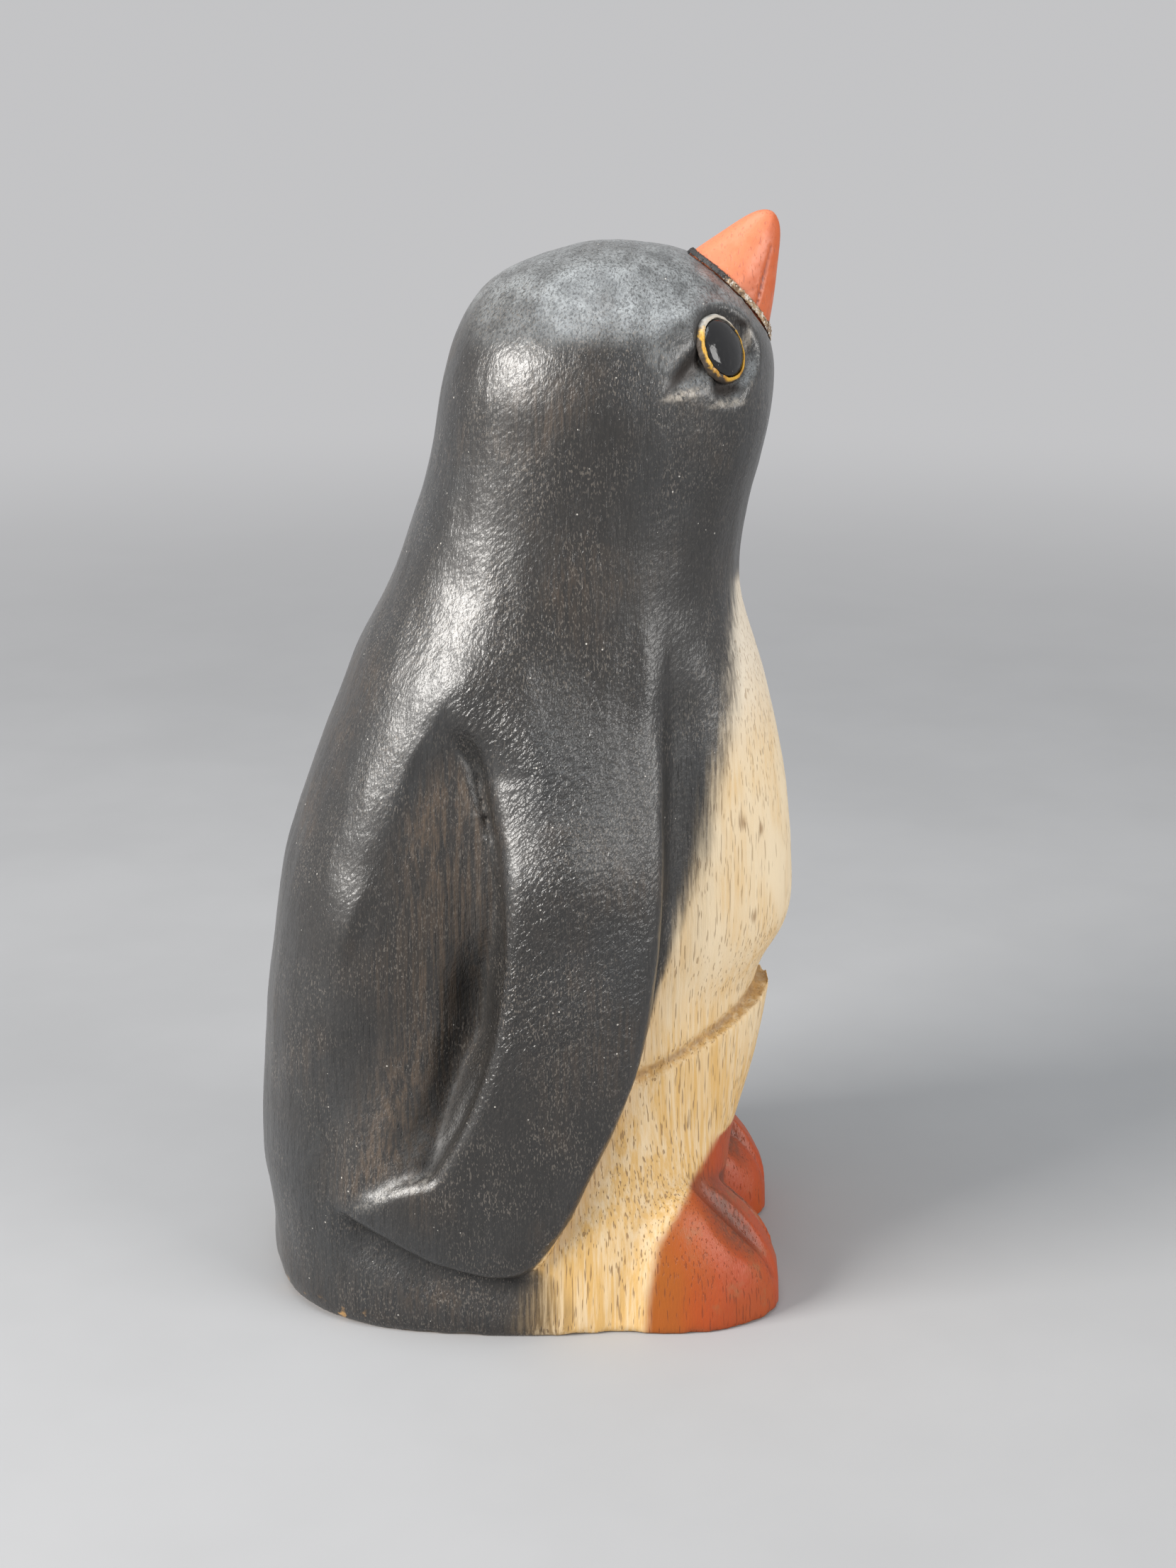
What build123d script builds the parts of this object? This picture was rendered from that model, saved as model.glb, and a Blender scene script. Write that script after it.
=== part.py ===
# Hand-carved wooden penguin: one block with relief flippers and feet, a glued beak on a dowel
# and two domed eyes with painted rings. The penguin faces -Y and stands on the XY plane.
import math
import os

from build123d import *

# Block
neck_height = 120.0
head_height = 54.6
torso_depth = 90.7
torso_width = 73.6
head_depth = 52.7
head_width = 49.0
head_forward = 14.2
crown_height = neck_height + head_height

# Torso sections from the floor up: height of the neck height, then back, widest place and front
# of half the depth, side of half the width, and how full the rear and front corners are.
torso_shares = [
    (0.000, 0.931, 0.00, 0.745, 0.975, 0.73, 0.80),
    (0.067, 0.970, 0.02, 0.750, 0.990, 0.73, 0.79),
    (0.167, 1.000, 0.12, 0.780, 0.975, 0.71, 0.73),
    (0.267, 0.998, 0.32, 0.845, 0.935, 0.68, 0.66),
    (0.383, 0.976, 0.40, 0.912, 0.906, 0.66, 0.62),
    (0.450, 0.959, 0.41, 0.938, 0.901, 0.65, 0.61),
    (0.508, 0.935, 0.40, 0.976, 0.899, 0.64, 0.60),
    (0.592, 0.901, 0.35, 1.000, 0.894, 0.63, 0.60),
    (0.692, 0.826, 0.26, 0.980, 0.873, 0.62, 0.59),
    (0.800, 0.724, 0.13, 0.929, 0.840, 0.61, 0.59),
    (0.900, 0.616, -0.02, 0.857, 0.785, 0.60, 0.59),
    (1.000, 0.477, -0.15, 0.788, 0.715, 0.60, 0.60),
]
# Head sections above the neck, in the same order, about the middle of the head.
head_shares = [
    (0.220, 1.194, 0.16, 0.860, 1.010, 0.60, 0.62),
    (0.458, 1.068, 0.05, 0.973, 1.000, 0.61, 0.65),
    (0.641, 1.000, 0.00, 1.000, 0.975, 0.61, 0.66),
    (0.769, 0.905, 0.00, 0.920, 0.890, 0.60, 0.65),
    (0.879, 0.731, 0.00, 0.742, 0.715, 0.58, 0.61),
    (0.952, 0.435, 0.00, 0.505, 0.460, 0.56, 0.58),
    (0.989, 0.178, 0.00, 0.212, 0.200, 0.55, 0.55),
]

# Stop cut across the belly: the thighs below it stand proud as a lip.
lip_height = 52.0
lip_slope = 22.0
lip_step = 2.2
lip_fade = 0.7
lip_back_inset = 5.0
lip_blend = 3.0

# Flippers, cut in relief on the flanks
flipper_span = 79.4
flipper_shoulder_drop = 8.0
flipper_sole_height = 11.4
flipper_width = 25.0
flipper_forward = 23.0
flipper_inset = 2.0
flipper_tail_share = 0.5955
flipper_shoulder_height = neck_height - flipper_shoulder_drop
flipper_length = flipper_shoulder_height - flipper_sole_height
# Flipper surface at each torso section: side of half the flipper span, widest place of half
# the depth, and how full its corners are. It sinks into the shoulder at the top.
flipper_shares = [
    (0.965, 0.12, 0.66),
    (0.985, 0.12, 0.66),
    (1.000, 0.12, 0.66),
    (1.000, 0.12, 0.66),
    (1.000, 0.12, 0.66),
    (1.000, 0.12, 0.66),
    (0.995, 0.12, 0.66),
    (0.980, 0.12, 0.66),
    (0.932, 0.12, 0.65),
    (0.832, 0.09, 0.62),
    (0.715, -0.02, 0.595),
    (0.630, -0.15, 0.59),
]
# Outline points: across from the front edge, where 1 is the width and 2 the tail's share of half
# the torso depth, and along the length from the shoulder.
flipper_front_shares = [(0.02, -0.06), (0.01, 0.36), (0.17, 0.66), (0.62, 0.91), (1.06, 1.0)]
flipper_sole_shares = [(1.06, 1.0), (1.60, 0.965), (2.10, 0.91)]
flipper_ledge_shares = [(2.10, 0.91), (1.80, 0.85), (1.50, 0.822)]
flipper_rear_shares = [(1.50, 0.822), (1.11, 0.60), (1.01, 0.355), (1.12, 0.175), (1.36, 0.105)]
flipper_arch_shares = [(1.36, 0.105), (1.70, 0.13), (2.05, 0.26)]
flipper_nape_shares = (2.10, -0.06)
flipper_round = 2.5
flat_limit = 0.001

# Feet
foot_height = 26.0
foot_reach = 43.1
foot_root = 12.0
foot_inner = 4.6
foot_outer = 35.2
# Sections from root to toe: reach, height of the foot height, inner and outer edge of the span.
foot_shares = [
    (0.00, 1.02, 0.00, 1.00),
    (0.36, 0.98, 0.00, 1.00),
    (0.62, 0.83, 0.01, 0.97),
    (0.82, 0.60, 0.06, 0.88),
    (0.94, 0.39, 0.13, 0.77),
    (1.00, 0.20, 0.25, 0.62),
]
foot_wall_share = 0.78
foot_crown_share = 0.62
foot_crest_share = 0.46
toe_groove_depth = 2.4
toe_groove_width = 3.6
toe_groove_shares = [0.34, 0.66]
toe_groove_height_share = 0.96

# Eyes
eye_diameter = 9.2
eye_dome_height = 2.3
eye_rim_height = 0.8
eye_fullness_share = 0.58
eye_drop = 14.9
eye_lead = 18.6
eye_bearing = 52.0
eye_lift = 21.0
eye_peg_diameter = 4.0
eye_peg_length = 6.0
eye_ring_diameter = 11.2
eye_ring_height = 1.3
eye_socket_diameter = 13.0
eye_socket_depth = 2.6
eye_corner_length = 14.3
eye_corner_width = 9.0
eye_corner_floor = 0.5
eye_corner_overrun = 1.0
eye_corner_turns = [198.0, 10.0]
eye_corner_length_shares = [1.0, 0.7]
eye_lid_diameter = 8.0
eye_lid_reach = 6.0
eye_lid_lift = 1.6
eye_lid_turn = 256.0
fit_gap = 0.05

# Beak, its dowel and the bead of filler at its root
beak_tip_rise = 4.0
beak_tip_lead = 25.7
beak_rise = 59.0
beak_length = 18.0
beak_root_height = 20.8
beak_root_width = 16.6
# Distance from the tip along the beak, and the section's size against the root's.
beak_shares = [(0.03, 0.13), (0.12, 0.27), (0.50, 0.60), (0.78, 0.81), (1.0, 1.0)]
beak_fullness_share = 0.53
mouth_width = 0.6
mouth_depth = 0.5
mouth_tip_share = 0.24
mouth_end_share = 0.84
mouth_tip_drop_share = 0.23
mouth_end_drop_share = 0.54
dowel_diameter = 4.0
dowel_in_beak = 6.5
dowel_in_head = 11.0
dowel_chamfer = 0.4
filler_width = 0.6
beak_tip_height = crown_height + beak_tip_rise
beak_tip_forward = head_forward + beak_tip_lead


def carved_section(height, back, wide, front, side, rear_share, fore_share):
    """Rounded, slightly boxy outline across the block at one height."""
    rear_run = (back - wide) * rear_share
    fore_run = (wide - front) * fore_share
    with BuildSketch(Plane.XY.offset(height)) as section:
        with BuildLine():
            Bezier((0, back), (side * rear_share, back), (side, wide + rear_run), (side, wide))
            Bezier((side, wide), (side, wide - fore_run), (side * fore_share, front), (0, front))
            Bezier((0, front), (-side * fore_share, front), (-side, wide - fore_run), (-side, wide))
            Bezier((-side, wide), (-side, wide + rear_run), (-side * rear_share, back), (0, back))
        make_face()
    return section.sketch


def torso_sections(recess, grow=0, fade=0, back_inset=0):
    """Torso outlines: the front below the stop cut steps back, flanks and back draw in."""
    half_depth = torso_depth / 2
    half_width = torso_width / 2
    sections = []
    for height_share, back, wide, front, side, rear, fore in torso_shares:
        height = height_share * neck_height
        step = recess if height <= lip_height + lip_blend else 0
        sections.append(
            carved_section(
                height,
                back * half_depth + grow - back_inset,
                wide * half_depth,
                step - front * half_depth - grow,
                side * half_width + grow - fade,
                rear,
                fore,
            )
        )
    return sections


def head_sections(grow):
    """Head outlines above the neck, about the head's own middle."""
    half_depth = head_depth / 2
    half_width = head_width / 2
    sections = []
    for height_share, back, wide, front, side, rear, fore in head_shares:
        sections.append(
            carved_section(
                neck_height + height_share * (crown_height + grow - neck_height),
                back * half_depth - head_forward + grow,
                wide * half_depth - head_forward,
                -front * half_depth - head_forward - grow,
                side * half_width + grow,
                rear,
                fore,
            )
        )
    return sections


def block_form(grow=0):
    """Torso and head as one smooth form, closed at the crown."""
    crown = Vertex(0, -head_forward, crown_height + grow)
    with BuildPart() as form:
        loft(sections=torso_sections(lip_step, grow) + head_sections(grow) + [crown])
    return form.part


def thigh_form():
    """Lower torso at its full depth, cut off by the sloping stop cut."""
    slope = math.radians(lip_slope)
    stop_cut = Plane(
        origin=(0, -torso_depth / 2, lip_height), z_dir=(0, math.sin(slope), math.cos(slope))
    )
    recessed = [row for row in torso_shares if row[0] * neck_height <= lip_height + lip_blend]
    with BuildPart() as form:
        loft(sections=torso_sections(0, 0, lip_fade, lip_back_inset)[: len(recessed) + 1])
        split(bisect_by=stop_cut, keep=Keep.BOTTOM)
    return form.part


def flipper_point(shares):
    """Point of the flipper outline in the side view."""
    across, down = shares
    rear = flipper_width - flipper_forward
    tail = flipper_tail_share * torso_depth / 2
    place = across * flipper_width - flipper_forward if across <= 1 else rear + (across - 1) * (tail - rear)
    return Vector(place, flipper_shoulder_height - down * flipper_length)


def beak_plane(away):
    """Plane square to the beak's axis, facing its tip, at a distance from the tip."""
    rise = math.radians(beak_rise)
    return Plane(
        origin=(0, away * math.cos(rise) - beak_tip_forward, beak_tip_height - away * math.sin(rise)),
        x_dir=(1, 0, 0),
        z_dir=(0, -math.cos(rise), math.sin(rise)),
    )


def beak_section(away_share, size_share, grow, narrow):
    """Beak outline square to its axis, at a share of its length from the tip."""
    across = size_share * beak_root_width / 2 + grow - narrow
    tall = size_share * beak_root_height / 2 + grow
    full = beak_fullness_share
    with BuildSketch(beak_plane(away_share * beak_length)) as section:
        with BuildLine():
            Bezier((across, 0), (across, tall * full), (across * full, tall), (0, tall))
            Bezier((0, tall), (-across * full, tall), (-across, tall * full), (-across, 0))
            Bezier((-across, 0), (-across, -tall * full), (-across * full, -tall), (0, -tall))
            Bezier((0, -tall), (across * full, -tall), (across, -tall * full), (across, 0))
        make_face()
    return section.sketch


def beak_form(grow=0, narrow=0):
    """Blunt tapering beak, closed at its tip."""
    tip = Vertex(0, -beak_tip_forward, beak_tip_height)
    sections = [beak_section(away, size, grow, narrow) for away, size in beak_shares]
    with BuildPart() as form:
        loft(sections=[tip] + sections)
    return form.part


def flipper_form():
    """Both flippers as a proud surface, trimmed to the flipper outline seen from the side."""
    half_depth = torso_depth / 2
    sections = []
    for torso, (side_share, wide_share, full_share) in zip(torso_shares, flipper_shares):
        sections.append(
            carved_section(
                torso[0] * neck_height,
                torso[1] * half_depth - flipper_inset,
                wide_share * half_depth,
                flipper_inset - torso[3] * half_depth,
                side_share * flipper_span / 2,
                full_share,
                full_share,
            )
        )
    front = [flipper_point(shares) for shares in flipper_front_shares]
    sole = [flipper_point(shares) for shares in flipper_sole_shares]
    ledge = [flipper_point(shares) for shares in flipper_ledge_shares]
    rear = [flipper_point(shares) for shares in flipper_rear_shares]
    arch = [flipper_point(shares) for shares in flipper_arch_shares]
    with BuildPart() as form:
        loft(sections=sections)
        with BuildSketch(Plane.YZ):
            with BuildLine():
                Spline(front, tangents=[(0, -1), (1, 0)])
                Spline(sole, tangents=[(1, 0), sole[-1] - sole[-2]])
                Spline(ledge)
                Spline(rear)
                Spline(arch)
                Polyline(arch[-1], flipper_point(flipper_nape_shares), front[0])
            make_face()
        extrude(amount=flipper_span, both=True, mode=Mode.INTERSECT)
        walls = form.faces().filter_by(lambda face: abs(face.normal_at().X) < flat_limit)
        rims = walls.filter_by(GeomType.PLANE, reverse=True).edges()
        fillet(rims.filter_by(lambda edge: abs(edge.center().X) > flipper_span / 4), flipper_round)
    return form.part


def foot_section(shares):
    """Domed outline across the left foot at one reach from its root."""
    along, up, inner_share, outer_share = shares
    span = foot_outer - foot_inner
    inner = foot_inner + inner_share * span
    outer = foot_inner + outer_share * span
    crest = inner + (outer - inner) * foot_crest_share
    top = up * foot_height
    wall = top * foot_wall_share
    crown_in = crest - (crest - inner) * foot_crown_share
    crown_out = crest + (outer - crest) * foot_crown_share
    place = Plane.XZ.offset(foot_root + along * (foot_reach - foot_root))
    with BuildSketch(place) as section:
        with BuildLine():
            Bezier((inner, 0), (inner, wall), (crown_in, top), (crest, top))
            Bezier((crest, top), (crown_out, top), (outer, wall), (outer, 0))
            Line((outer, 0), (inner, 0))
        make_face()
    return section.sketch


def foot_form():
    """Left foot: a rounded wedge with grooves between its three toes."""
    foot_run = foot_reach - foot_root
    with BuildPart() as foot:
        loft(sections=[foot_section(shares) for shares in foot_shares])
        for across_share in toe_groove_shares:
            place = Plane.YZ.offset(foot_inner + across_share * (foot_outer - foot_inner))
            with BuildLine(place) as groove:
                Spline(
                    [
                        (-foot_root - along * foot_run, up * foot_height * toe_groove_height_share)
                        for along, up, _, _ in foot_shares
                    ]
                )
            start = Plane(origin=groove.line @ 0, x_dir=(1, 0, 0), z_dir=groove.line % 0)
            with BuildSketch(start):
                with BuildLine():
                    Polyline(
                        (-toe_groove_width, toe_groove_depth),
                        (toe_groove_width, toe_groove_depth),
                        (0, -toe_groove_depth),
                        close=True,
                    )
                make_face()
            sweep(path=groove.line, mode=Mode.SUBTRACT)
    return foot.part


def head_point(start, outward):
    """Point of the head's surface that a line through start leaves by."""
    hits = head_block.find_intersection_points(Axis(start, outward))
    return max((point for point, normal in hits), key=lambda point: point.dot(outward))


def eye_seat():
    """Plane of the right eye's socket floor, found on the side of the head."""
    bearing = math.radians(eye_bearing)
    lift = math.radians(eye_lift)
    outward = Vector(
        -math.cos(bearing) * math.cos(lift), -math.sin(bearing) * math.cos(lift), math.sin(lift)
    )
    level = Vector(0, -head_forward - eye_lead, crown_height - eye_drop)
    cheek = head_point(level, Vector(-1, 0, 0))
    upward = Vector(0, 0, 1) - outward * outward.Z
    return Plane(origin=cheek - outward * eye_socket_depth, x_dir=upward, z_dir=outward)


def away_from_eye(turn):
    """Direction across the eye's seat, turned from straight ahead towards the crown."""
    slant = math.radians(turn)
    return seat_fore * math.cos(slant) + seat_up * math.sin(slant)


def corner_form(turn, length_share):
    """Tapering notch from under the eye out to one corner of its almond."""
    corner = away_from_eye(turn)
    tip = head_point(seat.origin + corner * eye_corner_length * length_share, seat.z_dir)
    top = socket_rise + eye_corner_overrun
    with BuildPart() as form:
        with BuildSketch(Plane(seat.origin, seat.z_dir.cross(corner), corner)) as notch:
            with BuildLine():
                Polyline(
                    (0, eye_corner_floor),
                    (eye_corner_width, top),
                    (-eye_corner_width, top),
                    close=True,
                )
            make_face()
        loft(sections=[notch.sketch, Vertex(tip + seat.z_dir * eye_corner_overrun)])
    return form.part


def across_plane(seat):
    """Plane through a seat's axis, to draw the half section of a turned piece."""
    return Plane(origin=seat.origin, x_dir=seat.x_dir, z_dir=-seat.y_dir)


def mouth_point(away_share, drop_share, side_step):
    """Point of the mouth line in the side view, at a share of the beak's length and half height."""
    rise = math.radians(beak_rise)
    away = away_share * beak_length
    drop = drop_share * beak_root_height / 2 + side_step
    forward = beak_tip_forward - away * math.cos(rise) + drop * math.sin(rise)
    return (-forward, beak_tip_height - away * math.sin(rise) - drop * math.cos(rise))


head_block = block_form()
seat = eye_seat()
seat_axis = Axis(seat.origin, seat.z_dir)
seat_up = seat.x_dir
seat_fore = seat.x_dir.cross(seat.z_dir)
socket_rise = eye_socket_depth + eye_dome_height
bore_radius = eye_ring_diameter / 2 + fit_gap
beak_block = beak_form()
dowel_seat = beak_plane(beak_length + dowel_in_head)
dowel_length = dowel_in_beak + dowel_in_head

with BuildPart() as eye_bowl:
    with BuildSketch(seat):
        Circle(bore_radius)
    with BuildSketch(seat.offset(socket_rise)):
        Circle(eye_socket_diameter / 2 + eye_dome_height)
    loft()

with BuildPart() as eye_lid:
    lid_point = head_point(seat.origin + away_from_eye(eye_lid_turn) * eye_lid_reach, seat.z_dir)
    with Locations(lid_point + seat.z_dir * eye_lid_lift):
        Sphere(eye_lid_diameter / 2)

with BuildPart() as eye_hole:
    with BuildSketch(seat):
        Circle(eye_peg_diameter / 2 + fit_gap)
    extrude(amount=-eye_peg_length - fit_gap)

eye_cuts = [eye_bowl.part, eye_lid.part, eye_hole.part]
eye_cuts += [corner_form(*shares) for shares in zip(eye_corner_turns, eye_corner_length_shares)]

with BuildPart() as body:
    add(head_block)
    add(thigh_form())
    add(flipper_form())
    add(foot_form())
    mirror(foot_form(), about=Plane.YZ)
    for cut in eye_cuts:
        add(cut, mode=Mode.SUBTRACT)
        mirror(cut, about=Plane.YZ, mode=Mode.SUBTRACT)
    add(beak_block, mode=Mode.SUBTRACT)
    with BuildSketch(dowel_seat):
        Circle(dowel_diameter / 2 + fit_gap)
    extrude(amount=dowel_length, mode=Mode.SUBTRACT)

with BuildPart() as mouth_cut:
    with BuildSketch(Plane.YZ):
        with BuildLine():
            Polyline(
                mouth_point(mouth_tip_share, mouth_tip_drop_share, -mouth_width / 2),
                mouth_point(mouth_end_share, mouth_end_drop_share, -mouth_width / 2),
                mouth_point(mouth_end_share, mouth_end_drop_share, mouth_width / 2),
                mouth_point(mouth_tip_share, mouth_tip_drop_share, mouth_width / 2),
                close=True,
            )
        make_face()
    extrude(amount=beak_root_width, both=True)
    add(beak_form(narrow=mouth_depth), mode=Mode.SUBTRACT)

with BuildPart() as beak:
    add(beak_block)
    add(mouth_cut.part, mode=Mode.SUBTRACT)
    with BuildSketch(dowel_seat):
        Circle(dowel_diameter / 2 + fit_gap)
    extrude(amount=dowel_length + fit_gap, mode=Mode.SUBTRACT)

with BuildPart() as beak_dowel:
    with BuildSketch(dowel_seat):
        Circle(dowel_diameter / 2)
    extrude(amount=dowel_length)
    chamfer(beak_dowel.edges().filter_by(GeomType.CIRCLE), dowel_chamfer)

with BuildPart() as beak_filler:
    add(beak_form(grow=filler_width))
    add(block_form(grow=filler_width), mode=Mode.INTERSECT)
    add(head_block, mode=Mode.SUBTRACT)
    add(beak_block, mode=Mode.SUBTRACT)

with BuildPart() as right_eye:
    radius = eye_diameter / 2
    dome_run = (eye_dome_height - eye_rim_height) * eye_fullness_share
    with BuildSketch(across_plane(seat)):
        with BuildLine():
            Bezier(
                (radius, eye_rim_height),
                (radius, eye_rim_height + dome_run),
                (radius * eye_fullness_share, eye_dome_height),
                (0, eye_dome_height),
            )
            Polyline(
                (0, eye_dome_height),
                (0, -eye_peg_length),
                (eye_peg_diameter / 2, -eye_peg_length),
                (eye_peg_diameter / 2, 0),
                (radius, 0),
                (radius, eye_rim_height),
            )
        make_face()
    revolve(axis=seat_axis)

with BuildPart() as right_eye_ring:
    inner = eye_diameter / 2 + fit_gap
    outer = eye_ring_diameter / 2
    with BuildSketch(across_plane(seat)):
        with BuildLine():
            Bezier((outer, 0), (outer, eye_ring_height), (inner, eye_ring_height))
            Polyline((inner, eye_ring_height), (inner, 0), (outer, 0))
        make_face()
    revolve(axis=seat_axis)

with BuildPart() as left_eye:
    mirror(right_eye.part, about=Plane.YZ)

with BuildPart() as left_eye_ring:
    mirror(right_eye_ring.part, about=Plane.YZ)

pieces = {
    "body": body,
    "beak": beak,
    "beak_dowel": beak_dowel,
    "beak_filler": beak_filler,
    "right_eye": right_eye,
    "left_eye": left_eye,
    "right_eye_ring": right_eye_ring,
    "left_eye_ring": left_eye_ring,
}
os.makedirs("parts", exist_ok=True)
for name, piece in pieces.items():
    piece.part.label = name
    export_step(piece.part, f"parts/{name}.step")
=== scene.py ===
import math

import bmesh
import bpy
import numpy as np
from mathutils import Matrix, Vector


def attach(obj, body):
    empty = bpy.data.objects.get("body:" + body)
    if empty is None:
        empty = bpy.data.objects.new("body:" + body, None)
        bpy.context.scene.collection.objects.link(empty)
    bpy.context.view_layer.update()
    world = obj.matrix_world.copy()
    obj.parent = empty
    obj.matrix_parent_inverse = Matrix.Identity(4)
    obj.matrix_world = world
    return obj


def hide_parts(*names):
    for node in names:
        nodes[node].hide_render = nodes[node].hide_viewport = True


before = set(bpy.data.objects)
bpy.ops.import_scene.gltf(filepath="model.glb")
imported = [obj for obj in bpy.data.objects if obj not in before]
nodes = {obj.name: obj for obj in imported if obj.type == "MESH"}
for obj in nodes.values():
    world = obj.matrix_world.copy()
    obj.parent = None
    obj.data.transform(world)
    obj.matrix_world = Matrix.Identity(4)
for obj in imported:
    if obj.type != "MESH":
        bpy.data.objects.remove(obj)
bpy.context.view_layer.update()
mm = 0.001
print("frame loaded:", ", ".join(sorted(nodes)))


# Small helpers for node trees; they serve shader and geometry trees alike.
def feed(tree, socket, value):
    if isinstance(value, bpy.types.NodeSocket):
        tree.links.new(value, socket)
    elif value is not None:
        socket.default_value = value


def calc(tree, operation, *values, clamp=False):
    node = tree.nodes.new("ShaderNodeMath")
    node.operation = operation
    node.use_clamp = clamp
    for socket, value in zip(node.inputs, values):
        feed(tree, socket, value)
    return node.outputs[0]


def vectorCalc(tree, operation, *values):
    node = tree.nodes.new("ShaderNodeVectorMath")
    node.operation = operation
    for socket, value in zip(node.inputs, values):
        feed(tree, socket, value)
    return node.outputs[0]


def fade(tree, value, low, high, bottom=0.0, top=1.0):
    node = tree.nodes.new("ShaderNodeMapRange")
    node.interpolation_type = "SMOOTHSTEP"
    for socket, item in zip(node.inputs, (value, low, high, bottom, top)):
        feed(tree, socket, item)
    return node.outputs[0]


def noise(tree, vector, scale=1.0, detail=2.0, roughness=0.5, distortion=0.0):
    node = tree.nodes.new("ShaderNodeTexNoise")
    feed(tree, node.inputs["Vector"], vector)
    feed(tree, node.inputs["Scale"], scale)
    feed(tree, node.inputs["Detail"], detail)
    feed(tree, node.inputs["Roughness"], roughness)
    feed(tree, node.inputs["Distortion"], distortion)
    return node.outputs["Fac" if "Fac" in node.outputs else 0]


def blendColour(tree, amount, under, over, kind="MIX"):
    node = tree.nodes.new("ShaderNodeMix")
    node.data_type = "RGBA"
    node.blend_type = kind
    feed(tree, node.inputs[0], amount)
    feed(tree, node.inputs[6], under)
    feed(tree, node.inputs[7], over)
    return node.outputs[2]


def blendValue(tree, amount, under, over):
    node = tree.nodes.new("ShaderNodeMix")
    for socket, value in zip((node.inputs[0], node.inputs[2], node.inputs[3]), (amount, under, over)):
        feed(tree, socket, value)
    return node.outputs[0]


def newGroup(name, kind, inputs, outputs):
    tree = bpy.data.node_groups.new(name, kind)
    for label, socketType, value in inputs:
        socket = tree.interface.new_socket(label, in_out="INPUT", socket_type=socketType)
        if value is not None:
            socket.default_value = value
    for label, socketType in outputs:
        tree.interface.new_socket(label, in_out="OUTPUT", socket_type=socketType)
    return tree, tree.nodes.new("NodeGroupInput").outputs, tree.nodes.new("NodeGroupOutput").inputs


def place(tree, group, **values):
    node = tree.nodes.new("ShaderNodeGroup")
    node.node_tree = group
    for label, value in values.items():
        feed(tree, node.inputs[label], value)
    return node.outputs


def newMaterial(name):
    material = bpy.data.materials.new(name)
    material.use_nodes = True
    tree = material.node_tree
    surface = tree.nodes["Principled BSDF"]
    coords = tree.nodes.new("ShaderNodeTexCoord").outputs["Object"]
    inMm = vectorCalc(tree, "MULTIPLY", coords, (1 / mm, 1 / mm, 1 / mm))
    return material, tree, surface, inMm


def attribute(tree, name):
    node = tree.nodes.new("ShaderNodeAttribute")
    node.attribute_name = name
    return node.outputs["Fac"]


def bump(tree, height, distance, strength=1.0, normal=None):
    node = tree.nodes.new("ShaderNodeBump")
    feed(tree, node.inputs["Height"], height)
    feed(tree, node.inputs["Distance"], distance)
    feed(tree, node.inputs["Strength"], strength)
    feed(tree, node.inputs["Normal"], normal)
    return node.outputs["Normal"]


# Wood grain runs up the block: fine dark pores drawn out along it, and broader pale and dark streaks.
grainGroup, given, made = newGroup(
    "woodGrain",
    "ShaderNodeTree",
    [
        ("Point", "NodeSocketVector", None),
        ("Across", "NodeSocketFloat", 3.0),
        ("Along", "NodeSocketFloat", 0.2),
        ("Cover", "NodeSocketFloat", 0.66),
    ],
    [("Pores", "NodeSocketFloat"), ("Streaks", "NodeSocketFloat"), ("Figure", "NodeSocketFloat")],
)
stretch = grainGroup.nodes.new("ShaderNodeCombineXYZ")
for axis, label in enumerate(("Across", "Across", "Along")):
    feed(grainGroup, stretch.inputs[axis], given[label])
drawnOut = vectorCalc(grainGroup, "MULTIPLY", given["Point"], stretch.outputs[0])
poreField = noise(grainGroup, drawnOut, 1.0, 1.0, 0.55)
patchField = noise(grainGroup, vectorCalc(grainGroup, "MULTIPLY", given["Point"], (0.17, 0.17, 0.06)), 1.0, 2.0)
poreEdge = calc(grainGroup, "SUBTRACT", given["Cover"], calc(grainGroup, "MULTIPLY", patchField, 0.1))
feed(grainGroup, made["Pores"], fade(grainGroup, poreField, poreEdge, calc(grainGroup, "ADD", poreEdge, 0.09)))
streakField = noise(grainGroup, vectorCalc(grainGroup, "MULTIPLY", given["Point"], (1.3, 1.3, 0.04)), 1.0, 3.0, 0.62)
feed(grainGroup, made["Streaks"], fade(grainGroup, streakField, 0.3, 0.7))
feed(grainGroup, made["Figure"], fade(grainGroup, patchField, 0.32, 0.68))

# Dust and tiny chips: small round specks, thinned by a slow noise.
speckGroup, given, made = newGroup(
    "dustSpecks",
    "ShaderNodeTree",
    [
        ("Point", "NodeSocketVector", None),
        ("Density", "NodeSocketFloat", 0.5),
        ("Size", "NodeSocketFloat", 0.12),
        ("Cover", "NodeSocketFloat", 0.5),
    ],
    [("Specks", "NodeSocketFloat")],
)
cells = speckGroup.nodes.new("ShaderNodeTexVoronoi")
feed(speckGroup, cells.inputs["Vector"], given["Point"])
feed(speckGroup, cells.inputs["Scale"], given["Density"])
speckSpread = noise(speckGroup, given["Point"], 0.11, 3.0, 0.6)
speckRoom = fade(speckGroup, speckSpread, given["Cover"], calc(speckGroup, "ADD", given["Cover"], 0.2))
speckSize = calc(speckGroup, "MULTIPLY", given["Size"], speckRoom)
speckDisc = fade(speckGroup, cells.outputs["Distance"], speckSize, calc(speckGroup, "MULTIPLY", speckSize, 0.4))
speckShown = calc(speckGroup, "GREATER_THAN", speckSize, 0.01)
feed(speckGroup, made["Specks"], calc(speckGroup, "MULTIPLY", speckDisc, speckShown))

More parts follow.
